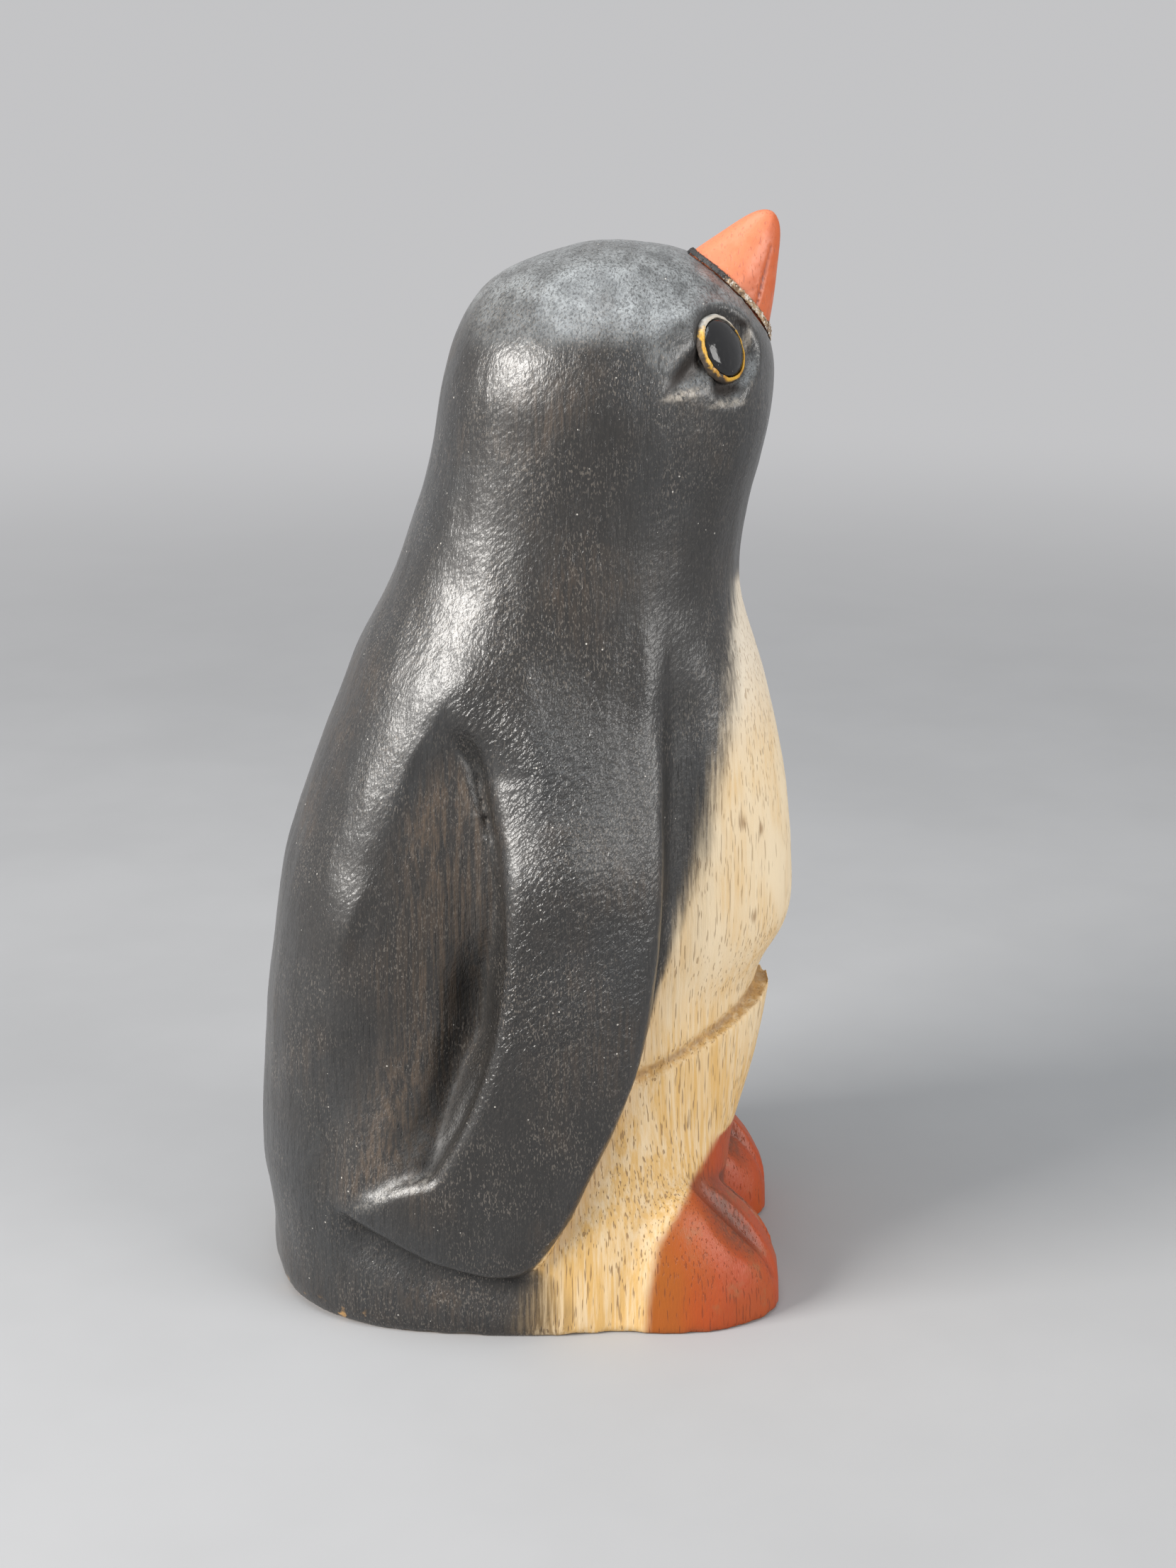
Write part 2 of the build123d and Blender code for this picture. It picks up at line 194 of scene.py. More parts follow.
# Rubbed edges: proud edges lose their colour where a broken noise lets them.
wearGroup, given, made = newGroup(
    "rubbedEdges",
    "ShaderNodeTree",
    [
        ("Point", "NodeSocketVector", None),
        ("Ridge", "NodeSocketFloat", 0.0),
        ("Reach", "NodeSocketFloat", 0.5),
        ("Broken", "NodeSocketFloat", 0.6),
    ],
    [("Wear", "NodeSocketFloat")],
)
rubField = calc(wearGroup, "SUBTRACT", noise(wearGroup, given["Point"], 0.9, 4.0, 0.65), 0.5)
rubbed = calc(wearGroup, "ADD", given["Ridge"], calc(wearGroup, "MULTIPLY", rubField, given["Broken"]))
feed(wearGroup, made["Wear"], fade(wearGroup, rubbed, given["Reach"], calc(wearGroup, "ADD", given["Reach"], 0.3)))

# Brushed paint: cloudy thick and thin places, fine brush lines and a soft lumpy height.
brushGroup, given, made = newGroup(
    "brushedPaint",
    "ShaderNodeTree",
    [
        ("Point", "NodeSocketVector", None),
        ("Cloud Size", "NodeSocketFloat", 3.0),
        ("Lump Size", "NodeSocketFloat", 0.6),
    ],
    [("Cloud", "NodeSocketFloat"), ("Lumps", "NodeSocketFloat")],
)
cloudField = noise(brushGroup, given["Point"], calc(brushGroup, "DIVIDE", 1.0, given["Cloud Size"]), 3.0, 0.6)
feed(brushGroup, made["Cloud"], fade(brushGroup, cloudField, 0.34, 0.66))
feed(brushGroup, made["Lumps"], noise(brushGroup, given["Point"], calc(brushGroup, "DIVIDE", 1.0, given["Lump Size"]), 2.0))
print("shared shader groups built")


# Mesh helpers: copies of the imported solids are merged, remeshed and read as arrays in millimetres.
def mergedCopy(nodeName, pieceName):
    mesh = nodes[nodeName].data.copy()
    work = bmesh.new()
    work.from_mesh(mesh)
    bmesh.ops.remove_doubles(work, verts=work.verts, dist=0.002 * mm)
    work.to_mesh(mesh)
    work.free()
    mesh.materials.clear()
    for layer in [item.name for item in mesh.uv_layers]:
        mesh.uv_layers.remove(mesh.uv_layers[layer])
    piece = bpy.data.objects.new(pieceName, mesh)
    bpy.context.scene.collection.objects.link(piece)
    return piece


def bakeModifiers(piece):
    bpy.context.view_layer.update()
    graph = bpy.context.evaluated_depsgraph_get()
    mesh = bpy.data.meshes.new_from_object(piece.evaluated_get(graph))
    mesh.name = piece.name
    piece.modifiers.clear()
    piece.data = mesh
    return mesh


def remesh(piece, voxel):
    modifier = piece.modifiers.new("evenSkin", "REMESH")
    modifier.mode = "VOXEL"
    modifier.voxel_size = voxel * mm
    modifier.use_smooth_shade = True
    return bakeModifiers(piece)


def readMesh(mesh):
    points = np.empty(len(mesh.vertices) * 3)
    mesh.vertices.foreach_get("co", points)
    normals = np.empty(len(mesh.vertices) * 3, np.float32)
    mesh.vertex_normals.foreach_get("vector", normals)
    edges = np.empty(len(mesh.edges) * 2, np.int32)
    mesh.edges.foreach_get("vertices", edges)
    return points.reshape(-1, 3) / mm, normals.reshape(-1, 3).astype(float), edges.reshape(-1, 2)


def writePoints(mesh, points):
    mesh.vertices.foreach_set("co", (points * mm).ravel())
    mesh.update()


def relax(values, edges, rounds, weight=0.5):
    count = len(values)
    degree = np.bincount(edges.ravel(), minlength=count)
    for _ in range(rounds):
        around = np.empty_like(values)
        for axis in range(values.shape[1]):
            column = values[:, axis]
            around[:, axis] = np.bincount(edges[:, 0], column[edges[:, 1]], count)
            around[:, axis] += np.bincount(edges[:, 1], column[edges[:, 0]], count)
        values = values + weight * (around / degree[:, None] - values)
    return values


def smoothSteps(points, edges, rounds):
    for _ in range(rounds):  # a push back after each pull keeps the volume
        points = relax(points, edges, 1, 0.5)
        points = relax(points, edges, 1, -0.53)
    return points


def storeMask(mesh, name, values):
    layer = mesh.attributes.new(name, "FLOAT", "POINT")
    layer.data.foreach_set("value", values.astype(np.float32))


def step(value, low, high):
    share = np.clip((value - low) / (high - low), 0.0, 1.0)
    return share * share * (3 - 2 * share)


def curvature(points, normals, edges, rounds):
    return ((points - relax(points, edges, rounds)) * normals).sum(1)  # proud places come out positive


def runTree(piece, tree, values):
    modifier = piece.modifiers.new(tree.name, "NODES")
    modifier.node_group = tree
    for item in tree.interface.items_tree:
        if item.in_out == "INPUT" and item.name in values:
            modifier[item.identifier] = values[item.name]
    return bakeModifiers(piece)


def thinOut(piece, limit):
    piece.data.calc_loop_triangles()
    modifier = piece.modifiers.new("thinned", "DECIMATE")
    modifier.ratio = min(1.0, limit / len(piece.data.loop_triangles))
    bakeModifiers(piece)
    points = readMesh(piece.data)[0]
    writePoints(piece.data, np.maximum(points, (-np.inf, -np.inf, 0.0)))  # nothing sinks under the floor


def finishPiece(piece, nodeName):
    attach(piece, "root")
    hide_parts(nodeName)
    print(piece.name, "done:", len(piece.data.polygons), "faces")


# Body: one block with black stain, a pale belly and orange feet.
bodyLook = {
    "voxel": 0.66,
    "smoothRounds": 5,
    "triangles": 185000,
    # border between black (behind) and pale (in front): height, place along Y, half width of its soft edge
    "bibBorder": [
        (0.0, -2.3, 8.0), (5.0, -3.2, 8.0), (10.0, -3.0, 5.0), (13.0, -1.7, 0.4), (20.5, -7.9, 0.35),
        (31.0, -13.2, 0.35), (45.6, -19.0, 0.4), (58.0, -22.6, 0.6), (68.7, -25.3, 2.2), (80.0, -29.0, 3.2),
        (91.1, -31.0, 3.6), (101.9, -33.2, 3.2), (112.0, -33.9, 2.0), (127.0, -34.4, 1.4),
    ],
    "bibTop": 121.0,
    "bibTopFade": 2.2,
    # border of the orange feet: height, place along Y
    "footBorder": [(0, -20.2), (7, -20.6), (15.5, -22.3), (20.8, -26.2), (24.6, -30.0), (27.7, -32.5), (28.2, -60.0)],
    "footFade": 1.1,
    "lipFront": -45.35,
    "lipHeight": 52.0,
    "lipSlope": 22.0,
    "lipRough": 1.0,
    # the belly ends and the flipper's front face begins this far out
    "bellyEnd": (28.8, 29.8),
    # flipper outline in the side view: height and place along Y, or Y and height on its flatter edges
    "flipperFront": [(8.0, 12.0), (11.4, 3.5), (20.5, -7.5), (45.6, -18.7), (75.8, -22.8), (118.0, -22.5)],
    "flipperRear": [
        (29.3, 14.5), (51.6, 4.8), (76.3, 2.3), (82.0, 3.7), (86.0, 5.0), (90.0, 6.0), (94.4, 6.4), (101.4, 11.2),
    ],
    "flipperLedge": [(14.5, 29.3), (22.0, 26.5), (29.5, 20.5)],
    "flipperSole": [(3.5, 11.4), (17.0, 14.9), (29.5, 20.5)],
    "flipperArch": [(5.0, 97.0), (10.0, 101.4), (15.0, 97.5), (21.0, 86.0), (28.3, 66.0)],
    "scoopDepth": 3.6,
    "scoopWidth": 34.0,
    "ledgeFill": 1.2,
    # the upper rear edge is drawn back this far, over half sizes along Y and Z round this place
    "edgeShift": 1.7,
    "edgePlace": (4.0, 90.0),
    "edgeReach": (7.0, 8.0),
    "rollDepth": 4.4,
    "rollWidth": 12.0,
    "valleyDepth": 2.2,
    "valleyWidth": 11.0,
    "frontCutDepth": 0.9,
    "wallCutDepth": 1.9,
    "soleCutDepth": 1.7,
    "grooveDepth": 0.8,
    "grooveWidth": 0.65,
    "eyePlace": (22.0, -33.0, 159.5),
    "beakPlace": (0.0, -33.0, 165.0),
    # flat knife chamfers along both sides of the crown: direction, then how deep they bite
    "crownFacing": (0.71, 0.0, 0.70),
    "crownBite": 1.35,
    "crownFrom": -42.0,
    "crownTo": 14.0,
    # thumb-wide hollows, or swellings where the depth is negative: side, Y, Z, half size along Y and Z, depth
    "hollows": [
        (-1, -6.0, 91.0, 2.2, 3.2, 0.5),
        (-1, -5.0, 79.0, 9.0, 8.0, -1.5),
        (1, -5.0, 79.0, 9.0, 8.0, -1.5),
        (-1, -8.0, 111.0, 6.5, 9.0, 1.1),
        (1, -6.0, 96.0, 5.0, 7.0, 0.6),
        (1, -9.0, 113.0, 7.0, 8.0, 1.0),
        (-1, 7.0, 107.0, 6.0, 6.0, -0.7),
        (1, 7.0, 107.0, 6.0, 6.0, -0.7),
        (-1, -20.0, 107.0, 2.2, 8.0, -0.7),
        (1, -20.0, 107.0, 2.2, 8.0, -0.7),
    ],
    # knife and colour marks round each eye and on each toe, among them a painted highlight on each brow and painted
    # shade in each eye notch: Y, Z, half length, half width, turn in degrees
    "browHighlights": [(-21.8, 159.0, 3.8, 2.4, 60)],
    "toeGouges": [(-34.3, 16.3, 7.5, 1.7, 51)],
    "toeGougeDepth": 0.9,
    "paleMarks": [(-25.3, 152.7, 3.2, 0.75, -12), (-32.2, 151.0, 3.0, 0.6, 0), (-35.6, 160.0, 1.8, 0.6, 100)],
    "notchShades": [(-25.2, 156.2, 3.6, 1.0, 129), (-32.2, 152.9, 2.6, 0.9, 0), (-34.7, 162.4, 1.8, 0.7, 33)],
    # stretches where the flipper runs out into the shoulder and the scoop into the back:
    # Y from and to, Z from and to, width of the fade, rounds of softening
    "shoulderBlend": (-26.0, 6.0, 100.0, 118.0, 3.0, 60),
    "archBlend": (17.0, 33.0, 74.0, 106.0, 6.0, 260),
}


def window(value, low, high, soft):
    return step(value, low - soft, low + soft) * (1 - step(value, high - soft, high + soft))


def along(value, table):
    return np.interp(value, *zip(*table))


def flipperGaps(points):
    look = bodyLook
    y, z = points[:, 1], points[:, 2]
    return {
        "past": y - along(z, look["flipperRear"]),  # behind the rear edge
        "ahead": along(z, look["flipperFront"]) - y,  # in front of the front edge
        "above": z - along(y, look["flipperLedge"]),
        "below": along(y, look["flipperSole"]) - z,
        "underArch": along(y, look["flipperArch"]) - z,
    }


def lipGap(points):
    slope = math.radians(bodyLook["lipSlope"])
    forward = (points[:, 1] - bodyLook["lipFront"]) * math.sin(slope)
    return forward + (points[:, 2] - bodyLook["lipHeight"]) * math.cos(slope)


def onBelly(points, ahead):
    return step(ahead, 0.3, 2.0) * (1 - step(np.abs(points[:, 0]), *bodyLook["bellyEnd"]))


def nearEye(points, reach, fadeOut):
    folded = np.column_stack((np.abs(points[:, 0]), points[:, 1], points[:, 2]))
    gap = np.linalg.norm(folded - np.array(bodyLook["eyePlace"]), axis=1)
    return 1 - step(gap, reach, fadeOut)


def nearBeak(points, reach, fadeOut):
    gap = np.linalg.norm(points - np.array(bodyLook["beakPlace"]), axis=1)
    return 1 - step(gap, reach, fadeOut)


def strokeMarks(points, marks):
    shown = np.zeros(len(points))
    for y, z, length, width, turn in marks:
        cosine, sine = math.cos(math.radians(turn)), math.sin(math.radians(turn))
        acrossY, upZ = points[:, 1] - y, points[:, 2] - z
        reach = ((acrossY * cosine + upZ * sine) / length) ** 2 + ((upZ * cosine - acrossY * sine) / width) ** 2
        shown = np.maximum(shown, np.exp(-reach * reach))
    return shown * step(np.abs(points[:, 0]), 7.0, 10.0)


def carveFlippers(points, normals):
    look = bodyLook
    gaps = flipperGaps(points)
    past, ahead, z = gaps["past"], gaps["ahead"], points[:, 2]
    scoop = step(past, -0.4, 2.4) * (1 - step(past, 3.0, look["scoopWidth"]))
    scoop *= step(gaps["above"], -4.0, 28.0) * step(gaps["underArch"], -2.0, 6.0)
    runOut = past / (2.4 + 5.0 * step(z, 86.0, 97.0))  # towards the arch the roll runs out softly behind the edge
    roll = np.clip(past / look["rollWidth"] + 1, 0, 1) ** 1.15 * (1 - step(runOut, 0.0, 1.0))
    roll *= step(z, 68.0, 94.0) * (1 - step(z + 0.8 * np.clip(points[:, 1] - 3.0, 0, None), 98.0, 114.0))
    wallCut = step(past, 0.2, 1.4) * (1 - step(past, 3.0, 10.0)) * step(gaps["above"], 1.0, 8.0)
    wallCut *= 1 - step(z, 56.0, 72.0)
    fill = step(past, 0.0, 3.0) * step(gaps["above"], -0.4, 0.8) * (1 - step(gaps["above"], 1.0, 26.0))
    fill *= window(points[:, 1], 13.0, 30.0, 2.0)
    valley = step(ahead, -0.2, 1.4) * (1 - step(ahead, 2.0, look["valleyWidth"])) * window(z, 64.0, 107.0, 10.0)
    frontCut = step(ahead, -0.2, 1.0) * (1 - step(ahead, 1.5, 7.0)) * window(z, 15.0, 62.0, 4.0)
    soleCut = step(gaps["below"], -0.2, 1.2) * (1 - step(gaps["below"], 3.0, 10.0))
    soleCut *= window(points[:, 1], 0.0, 29.0, 3.0)
    groove = np.exp(-(((lipGap(points) - 0.7) / look["grooveWidth"]) ** 2)) * onBelly(points, ahead)
    depth = np.maximum(look["scoopDepth"] * scoop, look["rollDepth"] * roll) + look["valleyDepth"] * valley
    depth += look["frontCutDepth"] * frontCut + look["soleCutDepth"] * soleCut + look["wallCutDepth"] * wallCut
    depth -= look["ledgeFill"] * fill
    sideways = np.sign(points[:, 0]) * step(np.abs(points[:, 0]), 4.0, 14.0)
    carved = points - (look["grooveDepth"] * groove)[:, None] * normals
    carved[:, 0] -= sideways * depth
    return carved


def chamferCrown(points):
    look = bodyLook
    for side in (-1, 1):
        facing = np.array(look["crownFacing"]) * (side, 1, 1)
        onHead = step(points[:, 2], 143.0, 152.0) * (1 - nearEye(points, 9.0, 15.0))
        reach = points @ facing
        stations = np.linspace(look["crownFrom"], look["crownTo"], 29)
        tops = np.array([reach[(np.abs(points[:, 1] - place) < 1.2) & (onHead > 0.5)].max(initial=0) for place in stations])
        tops = np.convolve(np.pad(tops, 2, mode="edge"), np.ones(5) / 5, mode="valid")
        bite = look["crownBite"] * window(points[:, 1], look["crownFrom"] + 8, look["crownTo"] - 6, 5.0)
        over = np.clip(reach - np.interp(points[:, 1], stations, tops) + bite, 0, None) * onHead * (bite > 0)
        points = points - np.minimum(over, bite)[:, None] * facing * 0.9
    return points


def soften(points, edges, stretch):
    yFrom, yTo, zFrom, zTo, soft, rounds = stretch
    blend = window(points[:, 1], yFrom, yTo, soft) * window(points[:, 2], zFrom, zTo, soft)
    return points + blend[:, None] * (relax(points, edges, rounds) - points)


def sculptBlock(points, normals, edges):
    look = bodyLook
    points = soften(points, edges, look["shoulderBlend"])
    fromEdge = (points[:, 1:] - np.array(look["edgePlace"])) / np.array(look["edgeReach"])
    points[:, 1] += look["edgeShift"] * np.exp(-(fromEdge**2).sum(1)) * step(np.abs(points[:, 0]), 8.0, 16.0)
    points = chamferCrown(carveFlippers(points, normals))
    points = soften(points, edges, look["archBlend"])
    gaps = flipperGaps(points)
    wall = step(gaps["past"], 1.2, 3.0) * (1 - step(gaps["past"], 9.0, 14.0))
    wall *= step(points[:, 2], 56.0, 72.0) * step(gaps["underArch"], -4.0, 1.0)
    points = points + wall[:, None] * (relax(points, edges, 75) - points)
    points = points - normals * (strokeMarks(points, look["toeGouges"]) * look["toeGougeDepth"])[:, None]
    for side, y, z, halfY, halfZ, depth in look["hollows"]:
        near = np.exp(-(((points[:, 1] - y) / halfY) ** 2) - ((points[:, 2] - z) / halfZ) ** 2)
        near *= step(points[:, 0] * side, 8.0, 16.0)
        points = points - normals * (near * depth)[:, None]
    onCrown = step(points[:, 2], 150.0, 157.0) * (1 - nearEye(points, 10.0, 15.0)) * (1 - nearBeak(points, 12.0, 16.0))
    return points + onCrown[:, None] * (relax(points, edges, 55) - points)


# Masks for stains, dust and wear, and for painted shade, a painted sky reflection and a painted brow highlight.
def stainAndLightMasks(points, normals, edges):
    look = bodyLook
    y, height = points[:, 1], points[:, 2]
    heights, places, softs = zip(*look["bibBorder"])
    behind = y - np.interp(height, heights, places)
    black = step(behind / np.interp(height, heights, softs), -1.0, 1.0)
    topFade = look["bibTopFade"]
    black = np.maximum(black, step(height, look["bibTop"] - topFade, look["bibTop"] + topFade))
    black = np.maximum(black, step(np.abs(points[:, 0]), *look["bellyEnd"]) * window(height, 36.0, 62.0, 2.0))
    foot = step(along(height, look["footBorder"]) - y, -look["footFade"], look["footFade"])
    fine = curvature(points, normals, edges, 12)
    broad = curvature(points, normals, edges, 120)
    gaps = flipperGaps(points)
    rough = np.exp(-(((lipGap(points) - 0.5) / look["lipRough"]) ** 2)) * onBelly(points, gaps["ahead"])
    scoop = step(gaps["past"], 0.6, 2.4) * (1 - step(gaps["past"], 9.0, 21.0))
    scoop *= step(gaps["above"], 0.0, 3.0) * step(gaps["underArch"], 0.0, 10.0)
    shelf = window(gaps["above"], -1.2, 0.3, 0.5) * window(y, 15.0, 30.0, 2.0) * step(normals[:, 2], 0.1, 0.4)
    wall = window(gaps["past"], 0.4, 6.5, 1.2) * step(gaps["above"], 0.0, 2.0) * (1 - step(height, 60.0, 80.0))
    # Painted shade: concave places, and the lower scoop wall under the black, are marked here to be darkened in the
    # colours below.
    sunk = np.clip(np.clip(-fine / 0.3, 0, 1) * 0.6 + np.clip(-broad / 1.6, 0, 1) * 0.6, 0, 1)
    frontEdge = window(gaps["ahead"], -2.5, 0.6, 0.5) * window(height, 30.0, 100.0, 8.0)
    aroundEye = nearEye(points, 9.0, 15.0)
    ridge = np.clip(fine / 0.3, 0, 1)
    pebbly = step(-gaps["past"], -1.0, 2.0) * step(-gaps["ahead"], 0.0, 3.0) * window(height, 44.0, 106.0, 14.0)
    return {
        "blackStain": black * (1 - foot),
        "footStain": foot,
        "cutRough": rough * (1 - black),
        "cutCore": np.exp(-(((lipGap(points) - 0.7) / 0.4) ** 2)) * onBelly(points, gaps["ahead"]) * (1 - black),
        "paleMark": strokeMarks(points, look["paleMarks"]),
        "notchShade": strokeMarks(points, look["notchShades"]),
        "browHighlight": strokeMarks(points, look["browHighlights"]),
        "toeGouge": strokeMarks(points, look["toeGouges"]),
        "pebbly": pebbly * (1 - 0.8 * window(gaps["past"], -6.5, 1.0, 2.0) * window(height, 74.0, 100.0, 6.0)),
        "ridge": ridge * (0.35 + 0.65 * np.maximum(frontEdge, 0.5 * aroundEye)),
        "hollowShade": np.maximum(sunk, 0.85 * wall * black),
        "settledDust": shelf,
        # painted reflection of the overhead light on the upward-facing crown
        "crownSheen": step(normals[:, 2], 0.32, 0.74) * step(height, 140.0, 160.0),
        "scoop": scoop,
        "socket": np.clip(-broad / 0.9, 0, 1) * nearEye(points, 12.0, 17.0),
        "underside": step(-normals[:, 2], 0.9, 0.98) * (1 - step(height, 0.05, 0.3)),
        "waveRoom": (1 - nearEye(points, 8.0, 13.0)) * (1 - nearBeak(points, 13.0, 18.0)),
    }


# Knife work on the block: slow waves everywhere, drawn-out strokes, and torn grain in the belly cut.
# It only ever cuts into the block, and never under the floor.
skinGroup, given, made = newGroup(
    "carvedSkin",
    "GeometryNodeTree",
    [
        ("Skin", "NodeSocketGeometry", None),
        ("Wave Depth", "NodeSocketFloat", 0.5),
        ("Wave Size", "NodeSocketFloat", 13.0),
        ("Stroke Depth", "NodeSocketFloat", 0.28),
        ("Stroke Width", "NodeSocketFloat", 3.2),
        ("Stroke Length", "NodeSocketFloat", 15.0),
        ("Tear Depth", "NodeSocketFloat", 1.5),
        ("Tear Size", "NodeSocketFloat", 1.3),
        ("Finish", "NodeSocketMaterial", None),
    ],
    [("Skin", "NodeSocketGeometry")],
)
position = skinGroup.nodes.new("GeometryNodeInputPosition").outputs[0]
inMm = vectorCalc(skinGroup, "MULTIPLY", position, (1 / mm,) * 3)
tearMask = skinGroup.nodes.new("GeometryNodeInputNamedAttribute")
tearMask.data_type = "FLOAT"
tearMask.inputs["Name"].default_value = "cutRough"
strokeStretch = skinGroup.nodes.new("ShaderNodeCombineXYZ")
for axis, label in enumerate(("Stroke Width", "Stroke Width", "Stroke Length")):
    feed(skinGroup, strokeStretch.inputs[axis], calc(skinGroup, "DIVIDE", 1.0, given[label]))
waves = noise(skinGroup, inMm, calc(skinGroup, "DIVIDE", 1.0, given["Wave Size"]), 1.0)
strokes = noise(skinGroup, vectorCalc(skinGroup, "MULTIPLY", inMm, strokeStretch.outputs[0]), 1.0, 1.0)
tears = noise(skinGroup, inMm, calc(skinGroup, "DIVIDE", 1.0, given["Tear Size"]), 3.0, 0.7)
room = skinGroup.nodes.new("GeometryNodeInputNamedAttribute")
room.data_type = "FLOAT"
room.inputs["Name"].default_value = "waveRoom"
waveDepth = calc(skinGroup, "MULTIPLY", given["Wave Depth"], room.outputs["Attribute"])
strokeDepth = calc(skinGroup, "MULTIPLY", given["Stroke Depth"], room.outputs["Attribute"])
tearDepth = calc(skinGroup, "MULTIPLY", given["Tear Depth"], tearMask.outputs["Attribute"])
cutDepth = 0.0
for field, depth in ((waves, waveDepth), (strokes, strokeDepth), (tears, tearDepth)):
    bite = calc(skinGroup, "MULTIPLY", calc(skinGroup, "SUBTRACT", field, 0.7), depth)
    cutDepth = calc(skinGroup, "ADD", cutDepth, bite)
inward = vectorCalc(skinGroup, "SCALE", skinGroup.nodes.new("GeometryNodeInputNormal").outputs[0])
feed(skinGroup, inward.node.inputs["Scale"], calc(skinGroup, "MULTIPLY", cutDepth, mm))
carvedPlace = vectorCalc(skinGroup, "MAXIMUM", vectorCalc(skinGroup, "ADD", position, inward), (-1.0, -1.0, 0.0))
moved = skinGroup.nodes.new("GeometryNodeSetPosition")
feed(skinGroup, moved.inputs["Geometry"], given["Skin"])
feed(skinGroup, moved.inputs["Position"], carvedPlace)
realized = skinGroup.nodes.new("GeometryNodeRealizeInstances")
feed(skinGroup, realized.inputs["Geometry"], moved.outputs["Geometry"])
coated = skinGroup.nodes.new("GeometryNodeSetMaterial")
feed(skinGroup, coated.inputs["Geometry"], realized.outputs["Geometry"])
feed(skinGroup, coated.inputs["Material"], given["Finish"])
feed(skinGroup, made["Skin"], coated.outputs["Geometry"])

# Finish of the block, with painted shade, a painted sky reflection, a painted brow highlight and painted glints among
# its colours
blackLook = {
    "stain": (0.0130, 0.0114, 0.0100, 1),
    "cool": (0.0185, 0.0191, 0.0197, 1),
    "thin": (0.058, 0.038, 0.023, 1),
    "deep": (0.006, 0.0055, 0.005, 1),
    "glintAndDustFleck": (0.15, 0.13, 0.11, 1),
    "worn": (0.22, 0.20, 0.175, 1),
    "socket": (0.036, 0.020, 0.012, 1),
    "facet": (0.40, 0.36, 0.31, 1),
    "recess": (0.010, 0.006, 0.004, 1),
    "bare": (0.52, 0.29, 0.09, 1),
    "skySheen": (0.33, 0.345, 0.35, 1),
    "gloss": 0.32,
    "wax": 0.5,
    "waxRough": 0.42,
    "pebbleTurn": 40.0,
    "pebbleSize": (0.78, 0.78, 1.4),
}
paleLook = {
    "limed": (0.73, 0.60, 0.415, 1),
    "golden": (0.62, 0.385, 0.135, 1),
    "white": (0.68, 0.63, 0.55, 1),
    "pore": (0.26, 0.15, 0.065, 1),
    "torn": (0.54, 0.31, 0.09, 1),
    # brown pin knots on the belly: X, Y, Z, radius
    "knots": [(-14.9, -39.1, 80.9, 0.9), (-17.9, -36.0, 83.0, 1.1), (-16.5, -38.0, 66.5, 0.8), (13.0, -40.0, 74.0, 1.0)],
}
footLook = {
    "red": (0.36, 0.046, 0.003, 1),
    "amber": (0.29, 0.08, 0.003, 1),
    "gouge": (0.10, 0.028, 0.010, 1),
    "deep": (0.13, 0.024, 0.007, 1),
    "scuffed": (0.27, 0.095, 0.03, 1),
}
dustColour = (0.60, 0.57, 0.52, 1)


def blackFinish(tree, point, grain, height):
    slow = noise(tree, point, 0.05, 3.0, 0.55)
    cool = noise(tree, vectorCalc(tree, "ADD", point, (40.0, 7.0, 3.0)), 0.035, 2.0)
    colour = blendColour(tree, fade(tree, cool, 0.42, 0.66), blackLook["stain"], blackLook["cool"])
    scoop = attribute(tree, "scoop")
    lowDown = calc(tree, "MULTIPLY", fade(tree, height, 15.0, 6.0), 0.15)
    thin = calc(tree, "MULTIPLY", fade(tree, slow, 0.52, 0.72), 0.5)
    thin = calc(tree, "ADD", thin, calc(tree, "MULTIPLY", scoop, 0.85))
    thin = calc(tree, "ADD", thin, lowDown)
    thin = calc(tree, "MULTIPLY", thin, fade(tree, grain["Streaks"], 0.1, 0.9, 0.1, 1.15), clamp=True)
    colour = blendColour(tree, thin, colour, blackLook["thin"])
    # Painted reflection: the upward-facing crown and the brow patch are lightened to a bluish grey where the overhead
    # light would reflect.
    skySheen = calc(tree, "MULTIPLY", attribute(tree, "crownSheen"), fade(tree, noise(tree, point, 0.25, 4.0, 0.65), 0.3, 0.7, 0.35, 1.0))
    skySheen = calc(tree, "MAXIMUM", skySheen, calc(tree, "MULTIPLY", attribute(tree, "browHighlight"), 0.35))
    colour = blendColour(tree, calc(tree, "MULTIPLY", skySheen, 0.7), colour, blackLook["skySheen"])
    hairs = noise(tree, vectorCalc(tree, "MULTIPLY", point, (2.6, 2.6, 0.16)), 1.0, 2.0, 0.6)
    dark = calc(tree, "MULTIPLY", fade(tree, hairs, 0.56, 0.36), 0.6)
    # Painted shade: hollows and the lower scoop wall are darkened towards the deep colour, as are the dark grain hairs
    # above.
    dark = calc(tree, "MAXIMUM", dark, calc(tree, "MULTIPLY", attribute(tree, "hollowShade"), 0.8))
    colour = blendColour(tree, dark, colour, blackLook["deep"])
    colour = blendColour(tree, calc(tree, "MULTIPLY", grain["Pores"], 0.55), colour, blackLook["deep"])
    # Pale flecks along the grain: painted glints, and pale dust in the pores.
    aside = vectorCalc(tree, "ADD", point, (11.0, 29.0, 5.0))
    glintAndDustFlecks = place(tree, grainGroup, Point=aside, Across=4.2, Along=1.5, Cover=0.62)["Pores"]
    glintAndDustFlecks = calc(tree, "MULTIPLY", glintAndDustFlecks, fade(tree, noise(tree, aside, 0.07, 3.0, 0.6), 0.4, 0.62, 0.12, 0.55))
    return blendColour(tree, glintAndDustFlecks, colour, blackLook["glintAndDustFleck"]), thin


